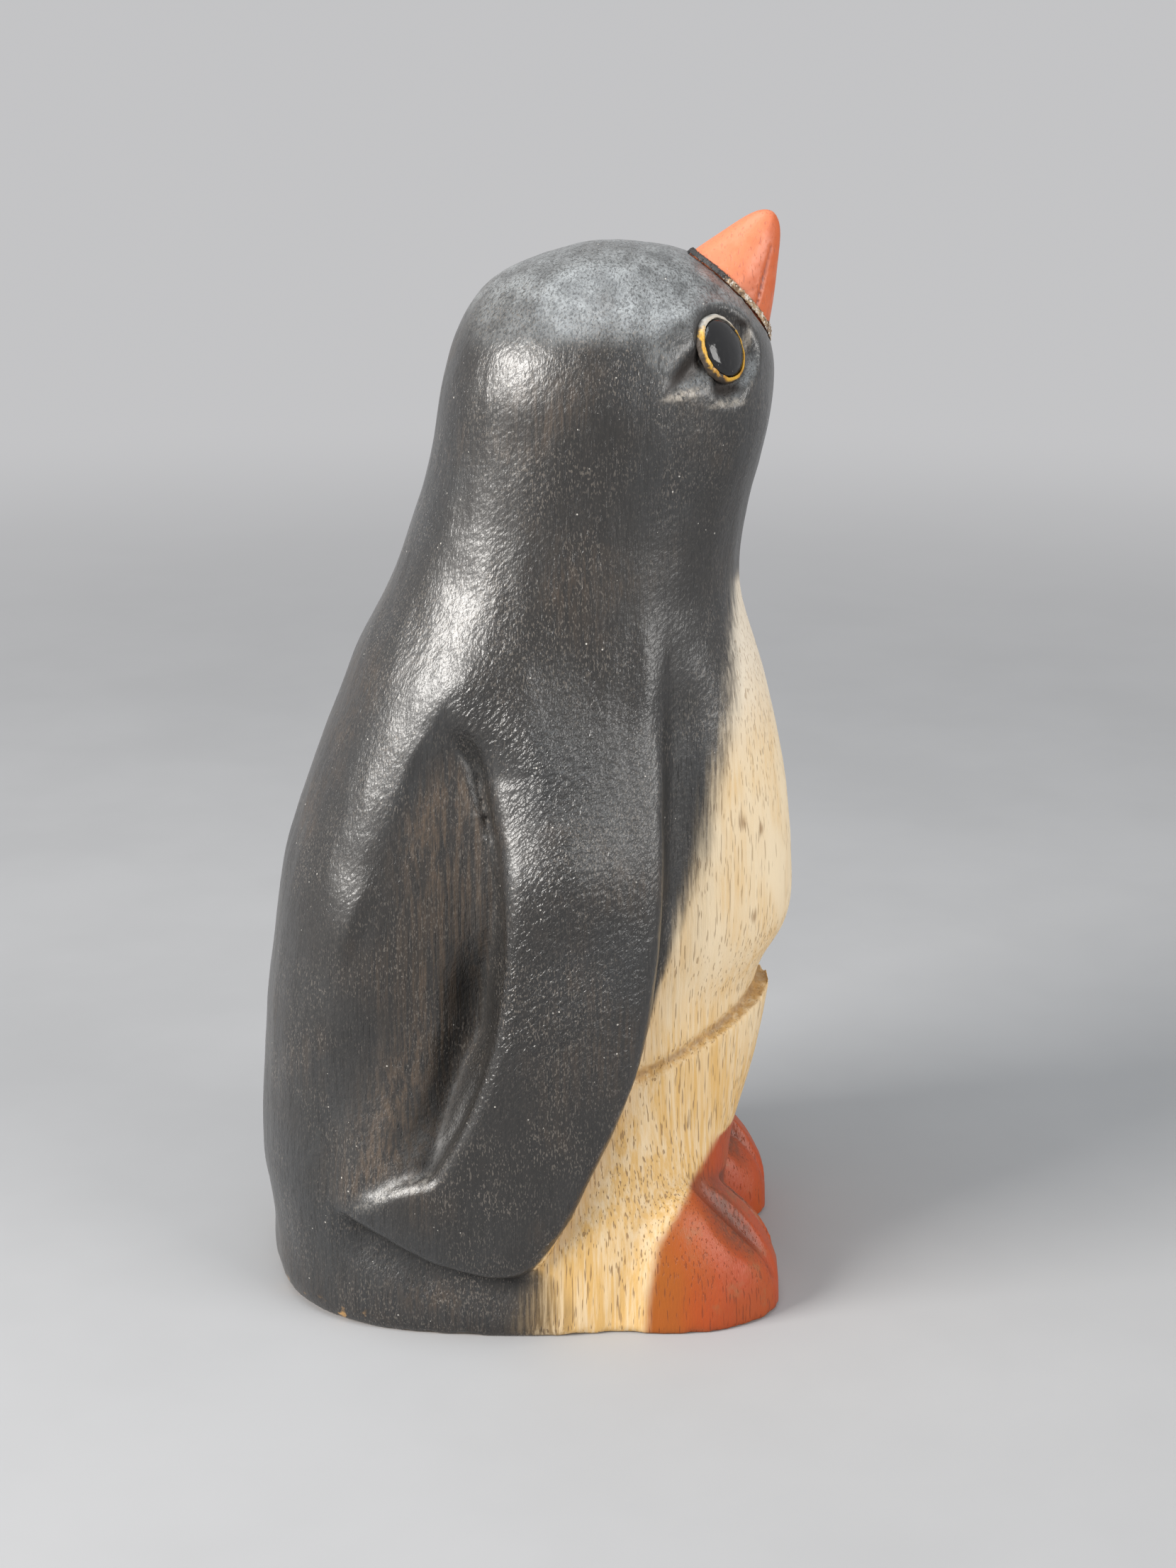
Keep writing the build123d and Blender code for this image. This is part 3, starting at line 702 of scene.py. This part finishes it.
def paleFinish(tree, point, grain, height):
    low = fade(tree, height, 78.0, 12.0)
    golden = calc(tree, "ADD", calc(tree, "MULTIPLY", low, 0.62), calc(tree, "MULTIPLY", grain["Figure"], 0.42))
    golden = calc(tree, "MULTIPLY", golden, calc(tree, "ADD", 0.45, grain["Streaks"]), clamp=True)
    colour = blendColour(tree, golden, paleLook["limed"], paleLook["golden"])
    white = calc(tree, "MULTIPLY", fade(tree, height, 88.0, 112.0), 0.7)
    colour = blendColour(tree, white, colour, paleLook["white"])
    pores = calc(tree, "MULTIPLY", grain["Pores"], calc(tree, "ADD", 0.5, calc(tree, "MULTIPLY", low, 0.35)))
    colour = blendColour(tree, pores, colour, paleLook["pore"])
    torn = calc(tree, "MULTIPLY", attribute(tree, "cutRough"), fade(tree, noise(tree, point, 0.7, 3.0, 0.65), 0.35, 0.6))
    colour = blendColour(tree, torn, colour, paleLook["torn"])
    core = calc(tree, "MULTIPLY", attribute(tree, "cutCore"), fade(tree, noise(tree, point, 0.5, 3.0, 0.6), 0.3, 0.55))
    colour = blendColour(tree, calc(tree, "MULTIPLY", core, 0.8), colour, paleLook["pore"])
    for x, y, z, radius in paleLook["knots"]:
        gap = vectorCalc(tree, "DISTANCE", vectorCalc(tree, "MULTIPLY", point, (1, 1, 0.6)), (x, y, 0.6 * z))
        gap = gap.node.outputs["Value"]
        gap = calc(tree, "ADD", gap, calc(tree, "MULTIPLY", grain["Streaks"], 0.8))
        colour = blendColour(tree, fade(tree, gap, radius + 0.5, radius * 0.4, 0.0, 0.75), colour, paleLook["pore"])
    # Painted shade: the belly's hollows, the cut among them, are darkened towards the pore colour, more so lower down.
    dustAndShade = calc(tree, "MULTIPLY", attribute(tree, "hollowShade"), calc(tree, "ADD", 0.3, calc(tree, "MULTIPLY", low, 0.3)))
    return blendColour(tree, dustAndShade, colour, paleLook["pore"])


def footFinish(tree, point, grain, across):
    amber = calc(tree, "MULTIPLY", fade(tree, across, -33.0, -21.0), 0.85)
    amber = calc(tree, "ADD", amber, calc(tree, "MULTIPLY", grain["Figure"], 0.25), clamp=True)
    colour = blendColour(tree, amber, footLook["red"], footLook["amber"])
    scuff = calc(tree, "MULTIPLY", fade(tree, noise(tree, point, 0.16, 4.0, 0.62), 0.55, 0.72), 0.75)
    colour = blendColour(tree, scuff, colour, footLook["scuffed"])
    gouge = calc(tree, "MULTIPLY", attribute(tree, "toeGouge"), fade(tree, grain["Streaks"], 0.1, 0.8, 0.5, 0.9))
    colour = blendColour(tree, gouge, colour, footLook["gouge"])
    colour = blendColour(tree, calc(tree, "MULTIPLY", grain["Pores"], 0.5), colour, footLook["deep"])
    # Painted shade: the feet's hollows are darkened towards the deep colour.
    return blendColour(tree, calc(tree, "MULTIPLY", attribute(tree, "hollowShade"), 0.85), colour, footLook["deep"])


def blockFinish():
    material, tree, surface, point = newMaterial("carvedBlock")
    parts = tree.nodes.new("ShaderNodeSeparateXYZ")
    feed(tree, parts.inputs[0], point)
    across, height = parts.outputs[1], parts.outputs[2]
    grain = place(tree, grainGroup, Point=point)
    foot = attribute(tree, "footStain")
    ridge = attribute(tree, "ridge")
    # the airbrushed edge drags along the grain
    black = attribute(tree, "blackStain")
    drag = calc(tree, "MULTIPLY", calc(tree, "SUBTRACT", grain["Streaks"], 0.5), 0.42)
    edge = calc(tree, "MULTIPLY", calc(tree, "MULTIPLY", black, calc(tree, "SUBTRACT", 1.0, black)), 4.0)
    black = calc(tree, "ADD", black, calc(tree, "MULTIPLY", drag, edge), clamp=True)
    cover = calc(tree, "SUBTRACT", 1.0, calc(tree, "POWER", calc(tree, "SUBTRACT", 1.0, black), 1.8))
    blackColour, thin = blackFinish(tree, point, grain, height)
    socket = attribute(tree, "socket")
    blackColour = blendColour(tree, calc(tree, "MULTIPLY", socket, 0.85), blackColour, blackLook["socket"])
    # Painted shade: the eye notches are darkened to near black.
    blackColour = blendColour(tree, attribute(tree, "notchShade"), blackColour, blackLook["recess"])
    broken = fade(tree, noise(tree, point, 1.1, 4.0, 0.65), 0.36, 0.6)
    facet = calc(tree, "MULTIPLY", attribute(tree, "paleMark"), broken)
    blackColour = blendColour(tree, calc(tree, "MULTIPLY", facet, 0.75), blackColour, blackLook["facet"])
    wear = place(tree, wearGroup, Point=point, Ridge=ridge, Reach=0.6, Broken=1.3)["Wear"]
    blackColour = blendColour(tree, calc(tree, "MULTIPLY", wear, 0.5), blackColour, blackLook["worn"])
    bareEdge = calc(tree, "MULTIPLY", fade(tree, height, 4.0, 1.0), fade(tree, across, 20.0, 34.0))
    bareEdge = calc(tree, "MULTIPLY", bareEdge, fade(tree, noise(tree, point, 0.33, 3.0, 0.6), 0.56, 0.64))
    blackColour = blendColour(tree, bareEdge, blackColour, blackLook["bare"])
    paleColour = paleFinish(tree, point, grain, height)
    colour = blendColour(tree, cover, paleColour, blackColour)
    colour = blendColour(tree, foot, colour, footFinish(tree, point, grain, across))
    specks = place(tree, speckGroup, Point=point, Density=0.5, Size=0.1, Cover=0.42)["Specks"]
    fluff = fade(tree, noise(tree, point, 0.8, 5.0, 0.7), 0.42, 0.62)
    dust = calc(tree, "MULTIPLY", attribute(tree, "settledDust"), fluff)
    dustAndShade = calc(tree, "MAXIMUM", calc(tree, "MULTIPLY", specks, 0.75), calc(tree, "MULTIPLY", dust, 0.28), clamp=True)
    dustAndShade = calc(tree, "MULTIPLY", dustAndShade, black)
    colour = blendColour(tree, dustAndShade, colour, dustColour)
    underside = attribute(tree, "underside")
    feed(tree, surface.inputs["Base Color"], blendColour(tree, underside, colour, paleLook["golden"]))
    satin = calc(tree, "ADD", blackLook["gloss"], calc(tree, "MULTIPLY", thin, 0.16))
    dull = calc(tree, "MAXIMUM", socket, attribute(tree, "notchShade"))
    dull = calc(tree, "MAXIMUM", dull, calc(tree, "MULTIPLY", attribute(tree, "hollowShade"), 0.9))
    satin = calc(tree, "ADD", satin, calc(tree, "MULTIPLY", dull, 0.45))
    rough = blendValue(tree, cover, 0.6, satin)
    rough = blendValue(tree, foot, rough, 0.48)
    feed(tree, surface.inputs["Roughness"], calc(tree, "ADD", rough, calc(tree, "MULTIPLY", dustAndShade, 0.4), clamp=True))
    # a thin waxed sheen lies on the black alone
    waxed = calc(tree, "MULTIPLY", cover, calc(tree, "SUBTRACT", 1.0, calc(tree, "MAXIMUM", foot, dustAndShade)))
    waxed = calc(tree, "MULTIPLY", waxed, calc(tree, "SUBTRACT", 1.0, calc(tree, "MAXIMUM", dull, facet)))
    feed(tree, surface.inputs["Coat Weight"], calc(tree, "MULTIPLY", waxed, blackLook["wax"]))
    surface.inputs["Coat Roughness"].default_value = blackLook["waxRough"]
    # pebbly brushed stain over open grain
    slant = tree.nodes.new("ShaderNodeMapping")
    slant.vector_type = "TEXTURE"
    feed(tree, slant.inputs["Vector"], point)
    slant.inputs["Rotation"].default_value = (math.radians(blackLook["pebbleTurn"]), 0, 0)
    slant.inputs["Scale"].default_value = blackLook["pebbleSize"]
    pebble = noise(tree, slant.outputs[0], 1.0, 2.0, 0.55)
    pebble = calc(tree, "MULTIPLY", pebble, calc(tree, "ADD", 0.75, calc(tree, "MULTIPLY", attribute(tree, "pebbly"), 2.6)))
    fibre = noise(tree, vectorCalc(tree, "MULTIPLY", point, (3.4, 3.4, 0.3)), 1.0, 2.0)
    relief = calc(tree, "MULTIPLY", pebble, blendValue(tree, cover, 0.25, 1.0))
    relief = calc(tree, "ADD", relief, calc(tree, "MULTIPLY", fibre, 0.35))
    relief = calc(tree, "SUBTRACT", relief, calc(tree, "MULTIPLY", grain["Pores"], 0.35))
    feed(tree, surface.inputs["Normal"], bump(tree, relief, 0.2 * mm, 1.0))
    return material


body = mergedCopy("body", "body_carved")
remesh(body, bodyLook["voxel"])
bodyPoints, bodyNormals, bodyEdges = readMesh(body.data)
bodyPoints = smoothSteps(bodyPoints, bodyEdges, bodyLook["smoothRounds"])
writePoints(body.data, sculptBlock(bodyPoints, bodyNormals, bodyEdges))
remesh(body, bodyLook["voxel"])  # evens out what the carving stretched
bodyPoints, bodyNormals, bodyEdges = readMesh(body.data)
writePoints(body.data, smoothSteps(bodyPoints, bodyEdges, bodyLook["smoothRounds"]))
bodyPoints, bodyNormals, bodyEdges = readMesh(body.data)
for maskName, maskValues in stainAndLightMasks(bodyPoints, bodyNormals, bodyEdges).items():
    storeMask(body.data, maskName, maskValues)
runTree(body, skinGroup, {"Finish": blockFinish()})
thinOut(body, bodyLook["triangles"])
finishPiece(body, "body")


# Beak: a hand-shaped orange cone with painted shade, darker orange underneath and darker in its hollows along the mouth
# line, and grubby at its root.
beakLook = {
    "voxel": 0.3,
    "tip": (0.0, -39.9, 178.6),
    "rise": 59.0,
    "salmon": (0.64, 0.19, 0.09, 1),
    "orange": (0.52, 0.105, 0.028, 1),
    "mouth": (0.17, 0.06, 0.055, 1),
    "grime": (0.16, 0.085, 0.045, 1),
}


def beakFinish():
    material, tree, surface, point = newMaterial("beakPaint")
    brushed = place(tree, brushGroup, Point=point, **{"Cloud Size": 3.4, "Lump Size": 0.9})
    grain = place(tree, grainGroup, Point=point, Across=2.6, Along=0.7, Cover=0.66)
    # Painted shade: the underside is painted a darker orange than the salmon top, with cloudy brush variation.
    underShade = attribute(tree, "underShade")
    deep = calc(tree, "ADD", underShade, calc(tree, "MULTIPLY", calc(tree, "SUBTRACT", brushed["Cloud"], 0.5), 0.5), clamp=True)
    colour = blendColour(tree, deep, beakLook["salmon"], beakLook["orange"])
    # Painted shade: the beak's hollows, the mouth groove among them, are darkened towards the mouth colour.
    colour = blendColour(tree, calc(tree, "MULTIPLY", attribute(tree, "hollowShade"), 0.8), colour, beakLook["mouth"])
    root = attribute(tree, "nearRoot")
    crumbs = place(tree, speckGroup, Point=point, Density=1.3, Size=0.24, Cover=0.36)["Specks"]
    grime = calc(tree, "MULTIPLY", root, calc(tree, "MAXIMUM", crumbs, calc(tree, "MULTIPLY", brushed["Cloud"], 0.5)))
    colour = blendColour(tree, grime, colour, beakLook["grime"])
    colour = blendColour(tree, calc(tree, "MULTIPLY", grain["Pores"], 0.28), colour, beakLook["mouth"])
    wear = place(tree, wearGroup, Point=point, Ridge=attribute(tree, "ridge"), Reach=0.7, Broken=0.8)["Wear"]
    feed(tree, surface.inputs["Base Color"], blendColour(tree, calc(tree, "MULTIPLY", wear, 0.35), colour, (0.85, 0.5, 0.3, 1)))
    feed(tree, surface.inputs["Roughness"], calc(tree, "ADD", 0.4, calc(tree, "MULTIPLY", brushed["Cloud"], 0.16)))
    relief = calc(tree, "SUBTRACT", brushed["Lumps"], calc(tree, "MULTIPLY", grain["Pores"], 0.4))
    feed(tree, surface.inputs["Normal"], bump(tree, relief, 0.1 * mm, 0.8))
    return material


beak = mergedCopy("beak", "beak_painted")
remesh(beak, beakLook["voxel"])
beakPoints, beakNormals, beakEdges = readMesh(beak.data)
writePoints(beak.data, smoothSteps(beakPoints, beakEdges, 3))
beakPoints, beakNormals, beakEdges = readMesh(beak.data)
beakRise = math.radians(beakLook["rise"])
fromTip = beakPoints - np.array(beakLook["tip"])
alongBeak = fromTip @ np.array((0, math.cos(beakRise), -math.sin(beakRise)))
belowAxis = fromTip @ np.array((0, -math.sin(beakRise), -math.cos(beakRise)))
beakFine = curvature(beakPoints, beakNormals, beakEdges, 10)
storeMask(beak.data, "nearRoot", step(alongBeak, 9.0, 16.5))
storeMask(beak.data, "underShade", step(belowAxis / (1.0 + 0.45 * alongBeak), 0.05, 0.75))
storeMask(beak.data, "hollowShade", np.clip(-beakFine / 0.1, 0, 1))
storeMask(beak.data, "ridge", np.clip(beakFine / 0.15, 0, 1))
beak.data.materials.append(beakFinish())
finishPiece(beak, "beak")


# Filler: a crumbly bead at the beak's root, mostly hidden under the black stain.
fillerLook = {
    "voxel": 0.17,
    "tan": (0.45, 0.32, 0.20, 1),
    "chalk": (0.62, 0.57, 0.50, 1),
    "brown": (0.10, 0.055, 0.03, 1),
    "stain": (0.024, 0.022, 0.021, 1),
    "bareFrom": 156.0,
    "bareTo": 169.0,
}


def fillerFinish():
    material, tree, surface, point = newMaterial("fillerPaste")
    brushed = place(tree, brushGroup, Point=point, **{"Cloud Size": 1.1, "Lump Size": 0.35})
    chalk = fade(tree, noise(tree, point, 1.6, 3.0, 0.6), 0.5, 0.62)
    colour = blendColour(tree, brushed["Cloud"], fillerLook["tan"], fillerLook["brown"])
    colour = blendColour(tree, chalk, colour, fillerLook["chalk"])
    parts = tree.nodes.new("ShaderNodeSeparateXYZ")
    feed(tree, parts.inputs[0], point)
    bare = calc(
        tree,
        "MULTIPLY",
        fade(tree, parts.outputs[2], fillerLook["bareFrom"] - 1.5, fillerLook["bareFrom"] + 1.5),
        fade(tree, parts.outputs[2], fillerLook["bareTo"] + 2.0, fillerLook["bareTo"] - 2.0),
    )
    bare = fade(tree, calc(tree, "ADD", bare, calc(tree, "MULTIPLY", brushed["Lumps"], 0.8)), 0.95, 1.15)
    feed(tree, surface.inputs["Base Color"], blendColour(tree, bare, fillerLook["stain"], colour))
    feed(tree, surface.inputs["Roughness"], blendValue(tree, bare, 0.5, 0.9))
    feed(tree, surface.inputs["Normal"], bump(tree, brushed["Lumps"], 0.16 * mm, 1.0))
    return material


# Crumbs scattered on a lumpy bead
crumbGroup, given, made = newGroup(
    "fillerCrumbs",
    "GeometryNodeTree",
    [
        ("Bead", "NodeSocketGeometry", None),
        ("Crumbs Per Square Mm", "NodeSocketFloat", 1.6),
        ("Crumb Size", "NodeSocketFloat", 0.2),
        ("Lump Depth", "NodeSocketFloat", 0.35),
        ("Lump Size", "NodeSocketFloat", 1.2),
        ("Seed", "NodeSocketInt", 7),
        ("Finish", "NodeSocketMaterial", None),
    ],
    [("Bead", "NodeSocketGeometry")],
)
position = crumbGroup.nodes.new("GeometryNodeInputPosition").outputs[0]
inMm = vectorCalc(crumbGroup, "MULTIPLY", position, (1 / mm,) * 3)
lumps = noise(crumbGroup, inMm, calc(crumbGroup, "DIVIDE", 1.0, given["Lump Size"]), 3.0, 0.6)
sink = calc(crumbGroup, "MULTIPLY", calc(crumbGroup, "SUBTRACT", lumps, 0.6), given["Lump Depth"])
inward = vectorCalc(crumbGroup, "SCALE", crumbGroup.nodes.new("GeometryNodeInputNormal").outputs[0])
feed(crumbGroup, inward.node.inputs["Scale"], calc(crumbGroup, "MULTIPLY", sink, mm))
lumpy = crumbGroup.nodes.new("GeometryNodeSetPosition")
feed(crumbGroup, lumpy.inputs["Geometry"], given["Bead"])
feed(crumbGroup, lumpy.inputs["Offset"], inward)
scattered = crumbGroup.nodes.new("GeometryNodeDistributePointsOnFaces")
feed(crumbGroup, scattered.inputs["Mesh"], lumpy.outputs["Geometry"])
feed(crumbGroup, scattered.inputs["Density"], calc(crumbGroup, "DIVIDE", given["Crumbs Per Square Mm"], mm * mm))
feed(crumbGroup, scattered.inputs["Seed"], given["Seed"])
crumb = crumbGroup.nodes.new("GeometryNodeMeshIcoSphere")
feed(crumbGroup, crumb.inputs["Radius"], calc(crumbGroup, "MULTIPLY", given["Crumb Size"], mm))
crumb.inputs["Subdivisions"].default_value = 1
spread = crumbGroup.nodes.new("FunctionNodeRandomValue")
spread.data_type = "FLOAT_VECTOR"
spread.inputs[0].default_value = (0.5, 0.5, 0.4)
spread.inputs[1].default_value = (1.3, 1.1, 0.9)
feed(crumbGroup, spread.inputs["Seed"], given["Seed"])
placed = crumbGroup.nodes.new("GeometryNodeInstanceOnPoints")
feed(crumbGroup, placed.inputs["Points"], scattered.outputs["Points"])
feed(crumbGroup, placed.inputs["Instance"], crumb.outputs["Mesh"])
feed(crumbGroup, placed.inputs["Rotation"], scattered.outputs["Rotation"])
feed(crumbGroup, placed.inputs["Scale"], spread.outputs[0])
joined = crumbGroup.nodes.new("GeometryNodeJoinGeometry")
crumbGroup.links.new(placed.outputs["Instances"], joined.inputs[0])
crumbGroup.links.new(lumpy.outputs["Geometry"], joined.inputs[0])
realized = crumbGroup.nodes.new("GeometryNodeRealizeInstances")
feed(crumbGroup, realized.inputs["Geometry"], joined.outputs[0])
coated = crumbGroup.nodes.new("GeometryNodeSetMaterial")
feed(crumbGroup, coated.inputs["Geometry"], realized.outputs["Geometry"])
feed(crumbGroup, coated.inputs["Material"], given["Finish"])
feed(crumbGroup, made["Bead"], coated.outputs["Geometry"])

filler = mergedCopy("beak_filler", "filler_crumbs")
remesh(filler, fillerLook["voxel"])
runTree(filler, crumbGroup, {"Finish": fillerFinish()})
finishPiece(filler, "beak_filler")


# Eyes: glossy black domes inside unevenly painted rings.
eyeLook = {
    "voxel": 0.14,
    "black": (0.010, 0.010, 0.011, 1),
    "haze": (0.026, 0.025, 0.024, 1),
    "yellow": (0.60, 0.34, 0.03, 1),
    "amber": (0.42, 0.20, 0.02, 1),
    "bared": (0.045, 0.032, 0.022, 1),
    "chalk": (0.46, 0.44, 0.40, 1),
    "ringWobble": 0.16,
    # the paint ends unevenly about here, in millimetres from the middle of the eye
    "paintEnd": 5.2,
    # the grey smear lies on the upper rear of each ring: Y and Z
    "smear": (-31.0, 164.5),
    "smearReach": 4.2,
}


def eyeFinish():
    material, tree, surface, point = newMaterial("eyeGloss")
    brushed = place(tree, brushGroup, Point=point, **{"Cloud Size": 2.2, "Lump Size": 1.4})
    haze = fade(tree, noise(tree, vectorCalc(tree, "MULTIPLY", point, (1.6, 1.6, 0.5)), 1.0, 4.0, 0.65), 0.52, 0.75)
    colour = blendColour(tree, calc(tree, "MULTIPLY", haze, 0.6), eyeLook["black"], eyeLook["haze"])
    specks = place(tree, speckGroup, Point=point, Density=1.1, Size=0.1, Cover=0.4)["Specks"]
    feed(tree, surface.inputs["Base Color"], blendColour(tree, calc(tree, "MULTIPLY", specks, 0.5), colour, dustColour))
    feed(tree, surface.inputs["Roughness"], calc(tree, "ADD", 0.09, calc(tree, "MULTIPLY", haze, 0.2)))
    feed(tree, surface.inputs["Normal"], bump(tree, brushed["Lumps"], 0.1 * mm, 0.5))
    return material


def ringFinish():
    material, tree, surface, point = newMaterial("ringPaint")
    brushed = place(tree, brushGroup, Point=point, **{"Cloud Size": 1.8, "Lump Size": 0.5})
    colour = blendColour(tree, brushed["Cloud"], eyeLook["yellow"], eyeLook["amber"])
    smudge = noise(tree, point, 0.55, 4.0, 0.62)
    reach = calc(tree, "ADD", attribute(tree, "fromMiddle"), calc(tree, "MULTIPLY", smudge, 1.2))
    gone = fade(tree, reach, eyeLook["paintEnd"] + 0.5, eyeLook["paintEnd"] + 0.75)
    gone = calc(tree, "MAXIMUM", gone, fade(tree, smudge, 0.58, 0.63))
    colour = blendColour(tree, gone, colour, eyeLook["bared"])
    parts = tree.nodes.new("ShaderNodeCombineXYZ")
    split = tree.nodes.new("ShaderNodeSeparateXYZ")
    feed(tree, split.inputs[0], point)
    feed(tree, parts.inputs[1], split.outputs[1])
    feed(tree, parts.inputs[2], split.outputs[2])
    gap = vectorCalc(tree, "DISTANCE", parts.outputs[0], (0.0,) + eyeLook["smear"]).node.outputs["Value"]
    gap = calc(tree, "ADD", gap, calc(tree, "MULTIPLY", brushed["Lumps"], 2.0))
    chalk = fade(tree, gap, eyeLook["smearReach"] + 1.2, eyeLook["smearReach"] - 0.8, 0.0, 0.9)
    feed(tree, surface.inputs["Base Color"], blendColour(tree, chalk, colour, eyeLook["chalk"]))
    feed(tree, surface.inputs["Roughness"], calc(tree, "ADD", 0.42, calc(tree, "MULTIPLY", gone, 0.25)))
    feed(tree, surface.inputs["Normal"], bump(tree, brushed["Lumps"], 0.14 * mm, 0.9))
    return material


eyeGloss, ringPaint = eyeFinish(), ringFinish()
for side in ("right", "left"):
    eye = mergedCopy(f"{side}_eye", f"{side}_eye_dome")
    remesh(eye, eyeLook["voxel"])
    eyePoints, eyeNormals, eyeEdges = readMesh(eye.data)
    writePoints(eye.data, smoothSteps(eyePoints, eyeEdges, 8))
    eye.data.materials.append(eyeGloss)
    finishPiece(eye, f"{side}_eye")
    ring = mergedCopy(f"{side}_eye_ring", f"{side}_ring_painted")
    remesh(ring, eyeLook["voxel"])
    ringPoints, ringNormals, ringEdges = readMesh(ring.data)
    ringPoints = smoothSteps(ringPoints, ringEdges, 3)
    wobble = np.sin(ringPoints @ (1.1, 1.7, 1.3)) * np.sin(ringPoints @ (-1.9, 0.8, 1.6)) - 1.0
    ringPoints = ringPoints + ringNormals * (wobble * 0.5 * eyeLook["ringWobble"])[:, None]
    writePoints(ring.data, ringPoints)
    spokes = ringPoints - ringPoints.mean(0)
    facing = np.linalg.svd(spokes, full_matrices=False)[2][2]  # the ring's thin direction
    storeMask(ring.data, "fromMiddle", np.linalg.norm(spokes - np.outer(spokes @ facing, facing), axis=1))
    ring.data.materials.append(ringPaint)
    finishPiece(ring, f"{side}_eye_ring")


# Dowel: bare wood, hidden in the head and the beak.
dowelLook = {"wood": (0.62, 0.45, 0.25, 1), "dark": (0.30, 0.18, 0.08, 1), "roughness": 0.7}


def dowelFinish():
    material, tree, surface, point = newMaterial("dowelWood")
    grain = place(tree, grainGroup, Point=point, Across=3.0, Along=0.8, Cover=0.6)
    feed(tree, surface.inputs["Base Color"], blendColour(tree, grain["Pores"], dowelLook["wood"], dowelLook["dark"]))
    surface.inputs["Roughness"].default_value = dowelLook["roughness"]
    feed(tree, surface.inputs["Normal"], bump(tree, grain["Streaks"], 0.1 * mm, 0.5))
    return material


dowelMesh = nodes["beak_dowel"].data
dowelMesh.materials.clear()
dowelMesh.materials.append(dowelFinish())
print("dowel coated")


# Stage: pale floor, a tall side window, a cool sky lamp, a soft front fill and the camera of the photograph
stageLook = {
    "floorSize": 60.0,
    "floorColour": (0.37, 0.37, 0.378, 1),
    "backdrop": (0.55, 0.55, 0.56, 1),
    "fadeFrom": 0.25,
    "fadeTo": 0.95,
    "worldColour": (0.95, 0.97, 1.0, 1),
    "worldStrength": 0.22,
    # name, place, aim, width, height, watts, colour
    "lamps": [
        ("window", (-0.45, 0.79, 0.53), (0, 0, 0.12), 0.48, 0.28, 17.0, (1.0, 0.97, 0.93)),
        ("sky", (-0.13, 0.12, 1.10), (0, 0, 0.12), 0.70, 0.70, 6.0, (0.88, 0.95, 1.0)),
        ("front", (-0.62, -0.85, 0.45), (0, -0.01, 0.08), 0.70, 0.60, 10.0, (1.0, 0.985, 0.96)),
    ],
}
cameraLook = {"place": (-0.424, -0.01075, 0.210), "dip": 16.53, "lens": 60.38, "sensor": 36.0}


def backdropRays(tree):
    rays = tree.nodes.new("ShaderNodeLightPath").outputs
    seen = calc(tree, "ADD", rays["Is Camera Ray"], rays["Is Glossy Ray"])
    return calc(tree, "ADD", seen, rays["Is Transmission Ray"], clamp=True)


def buildWorld():
    world = bpy.data.worlds.new("studio")
    world.use_nodes = True
    tree = world.node_tree
    shown = tree.nodes["Background"]
    seen = backdropRays(tree)
    feed(tree, shown.inputs["Color"], blendColour(tree, seen, stageLook["worldColour"], stageLook["backdrop"]))
    feed(tree, shown.inputs["Strength"], blendValue(tree, seen, stageLook["worldStrength"], 1.0))
    return world


def buildStage():
    scene = bpy.context.scene
    half = stageLook["floorSize"] / 2
    mesh = bpy.data.meshes.new("floor")
    mesh.from_pydata([(-half, -half, 0), (half, -half, 0), (half, half, 0), (-half, half, 0)], [], [(0, 1, 2, 3)])
    floor = bpy.data.objects.new("floor", mesh)
    scene.collection.objects.link(floor)
    material, tree, surface, point = newMaterial("paleFloor")
    mottle = fade(tree, noise(tree, point, 0.012, 4.0, 0.6), 0.3, 0.7, 0.94, 1.0)
    tint = blendColour(tree, 1.0, stageLook["floorColour"], mottle, "MULTIPLY")
    feed(tree, surface.inputs["Base Color"], tint)
    surface.inputs["Roughness"].default_value = 0.85
    # far from the object the floor turns into the even backdrop that the camera sees
    seen = backdropRays(tree)
    gap = vectorCalc(tree, "LENGTH", point).node.outputs["Value"]
    far = fade(tree, gap, stageLook["fadeFrom"] / mm, stageLook["fadeTo"] / mm)
    glow = tree.nodes.new("ShaderNodeEmission")
    glow.inputs["Color"].default_value = stageLook["backdrop"]
    mixed = tree.nodes.new("ShaderNodeMixShader")
    feed(tree, mixed.inputs[0], calc(tree, "MULTIPLY", seen, far))
    tree.links.new(surface.outputs[0], mixed.inputs[1])
    tree.links.new(glow.outputs[0], mixed.inputs[2])
    tree.links.new(mixed.outputs[0], tree.nodes["Material Output"].inputs["Surface"])
    mesh.materials.append(material)
    scene.world = buildWorld()
    for name, spot, aim, width, tall, watts, tint in stageLook["lamps"]:
        lamp = bpy.data.lights.new(name, "AREA")
        lamp.shape = "RECTANGLE"
        lamp.size, lamp.size_y = width, tall
        lamp.energy = watts
        lamp.color = tint
        holder = bpy.data.objects.new(name, lamp)
        holder.location = spot
        holder.rotation_euler = (Vector(aim) - Vector(spot)).to_track_quat("-Z", "Y").to_euler()
        holder.visible_camera = False
        scene.collection.objects.link(holder)
    dip = math.radians(cameraLook["dip"])
    lens = bpy.data.cameras.new("photoCamera")
    lens.sensor_fit = "VERTICAL"
    lens.sensor_height = cameraLook["sensor"]
    lens.lens = cameraLook["lens"]
    lens.clip_start = 0.01
    viewer = bpy.data.objects.new("photoCamera", lens)
    viewer.location = cameraLook["place"]
    viewer.rotation_euler = Vector((math.cos(dip), 0, -math.sin(dip))).to_track_quat("-Z", "Y").to_euler()
    scene.collection.objects.link(viewer)
    scene.camera = viewer
    scene.view_settings.view_transform = "Standard"


buildStage()
print("stage set")
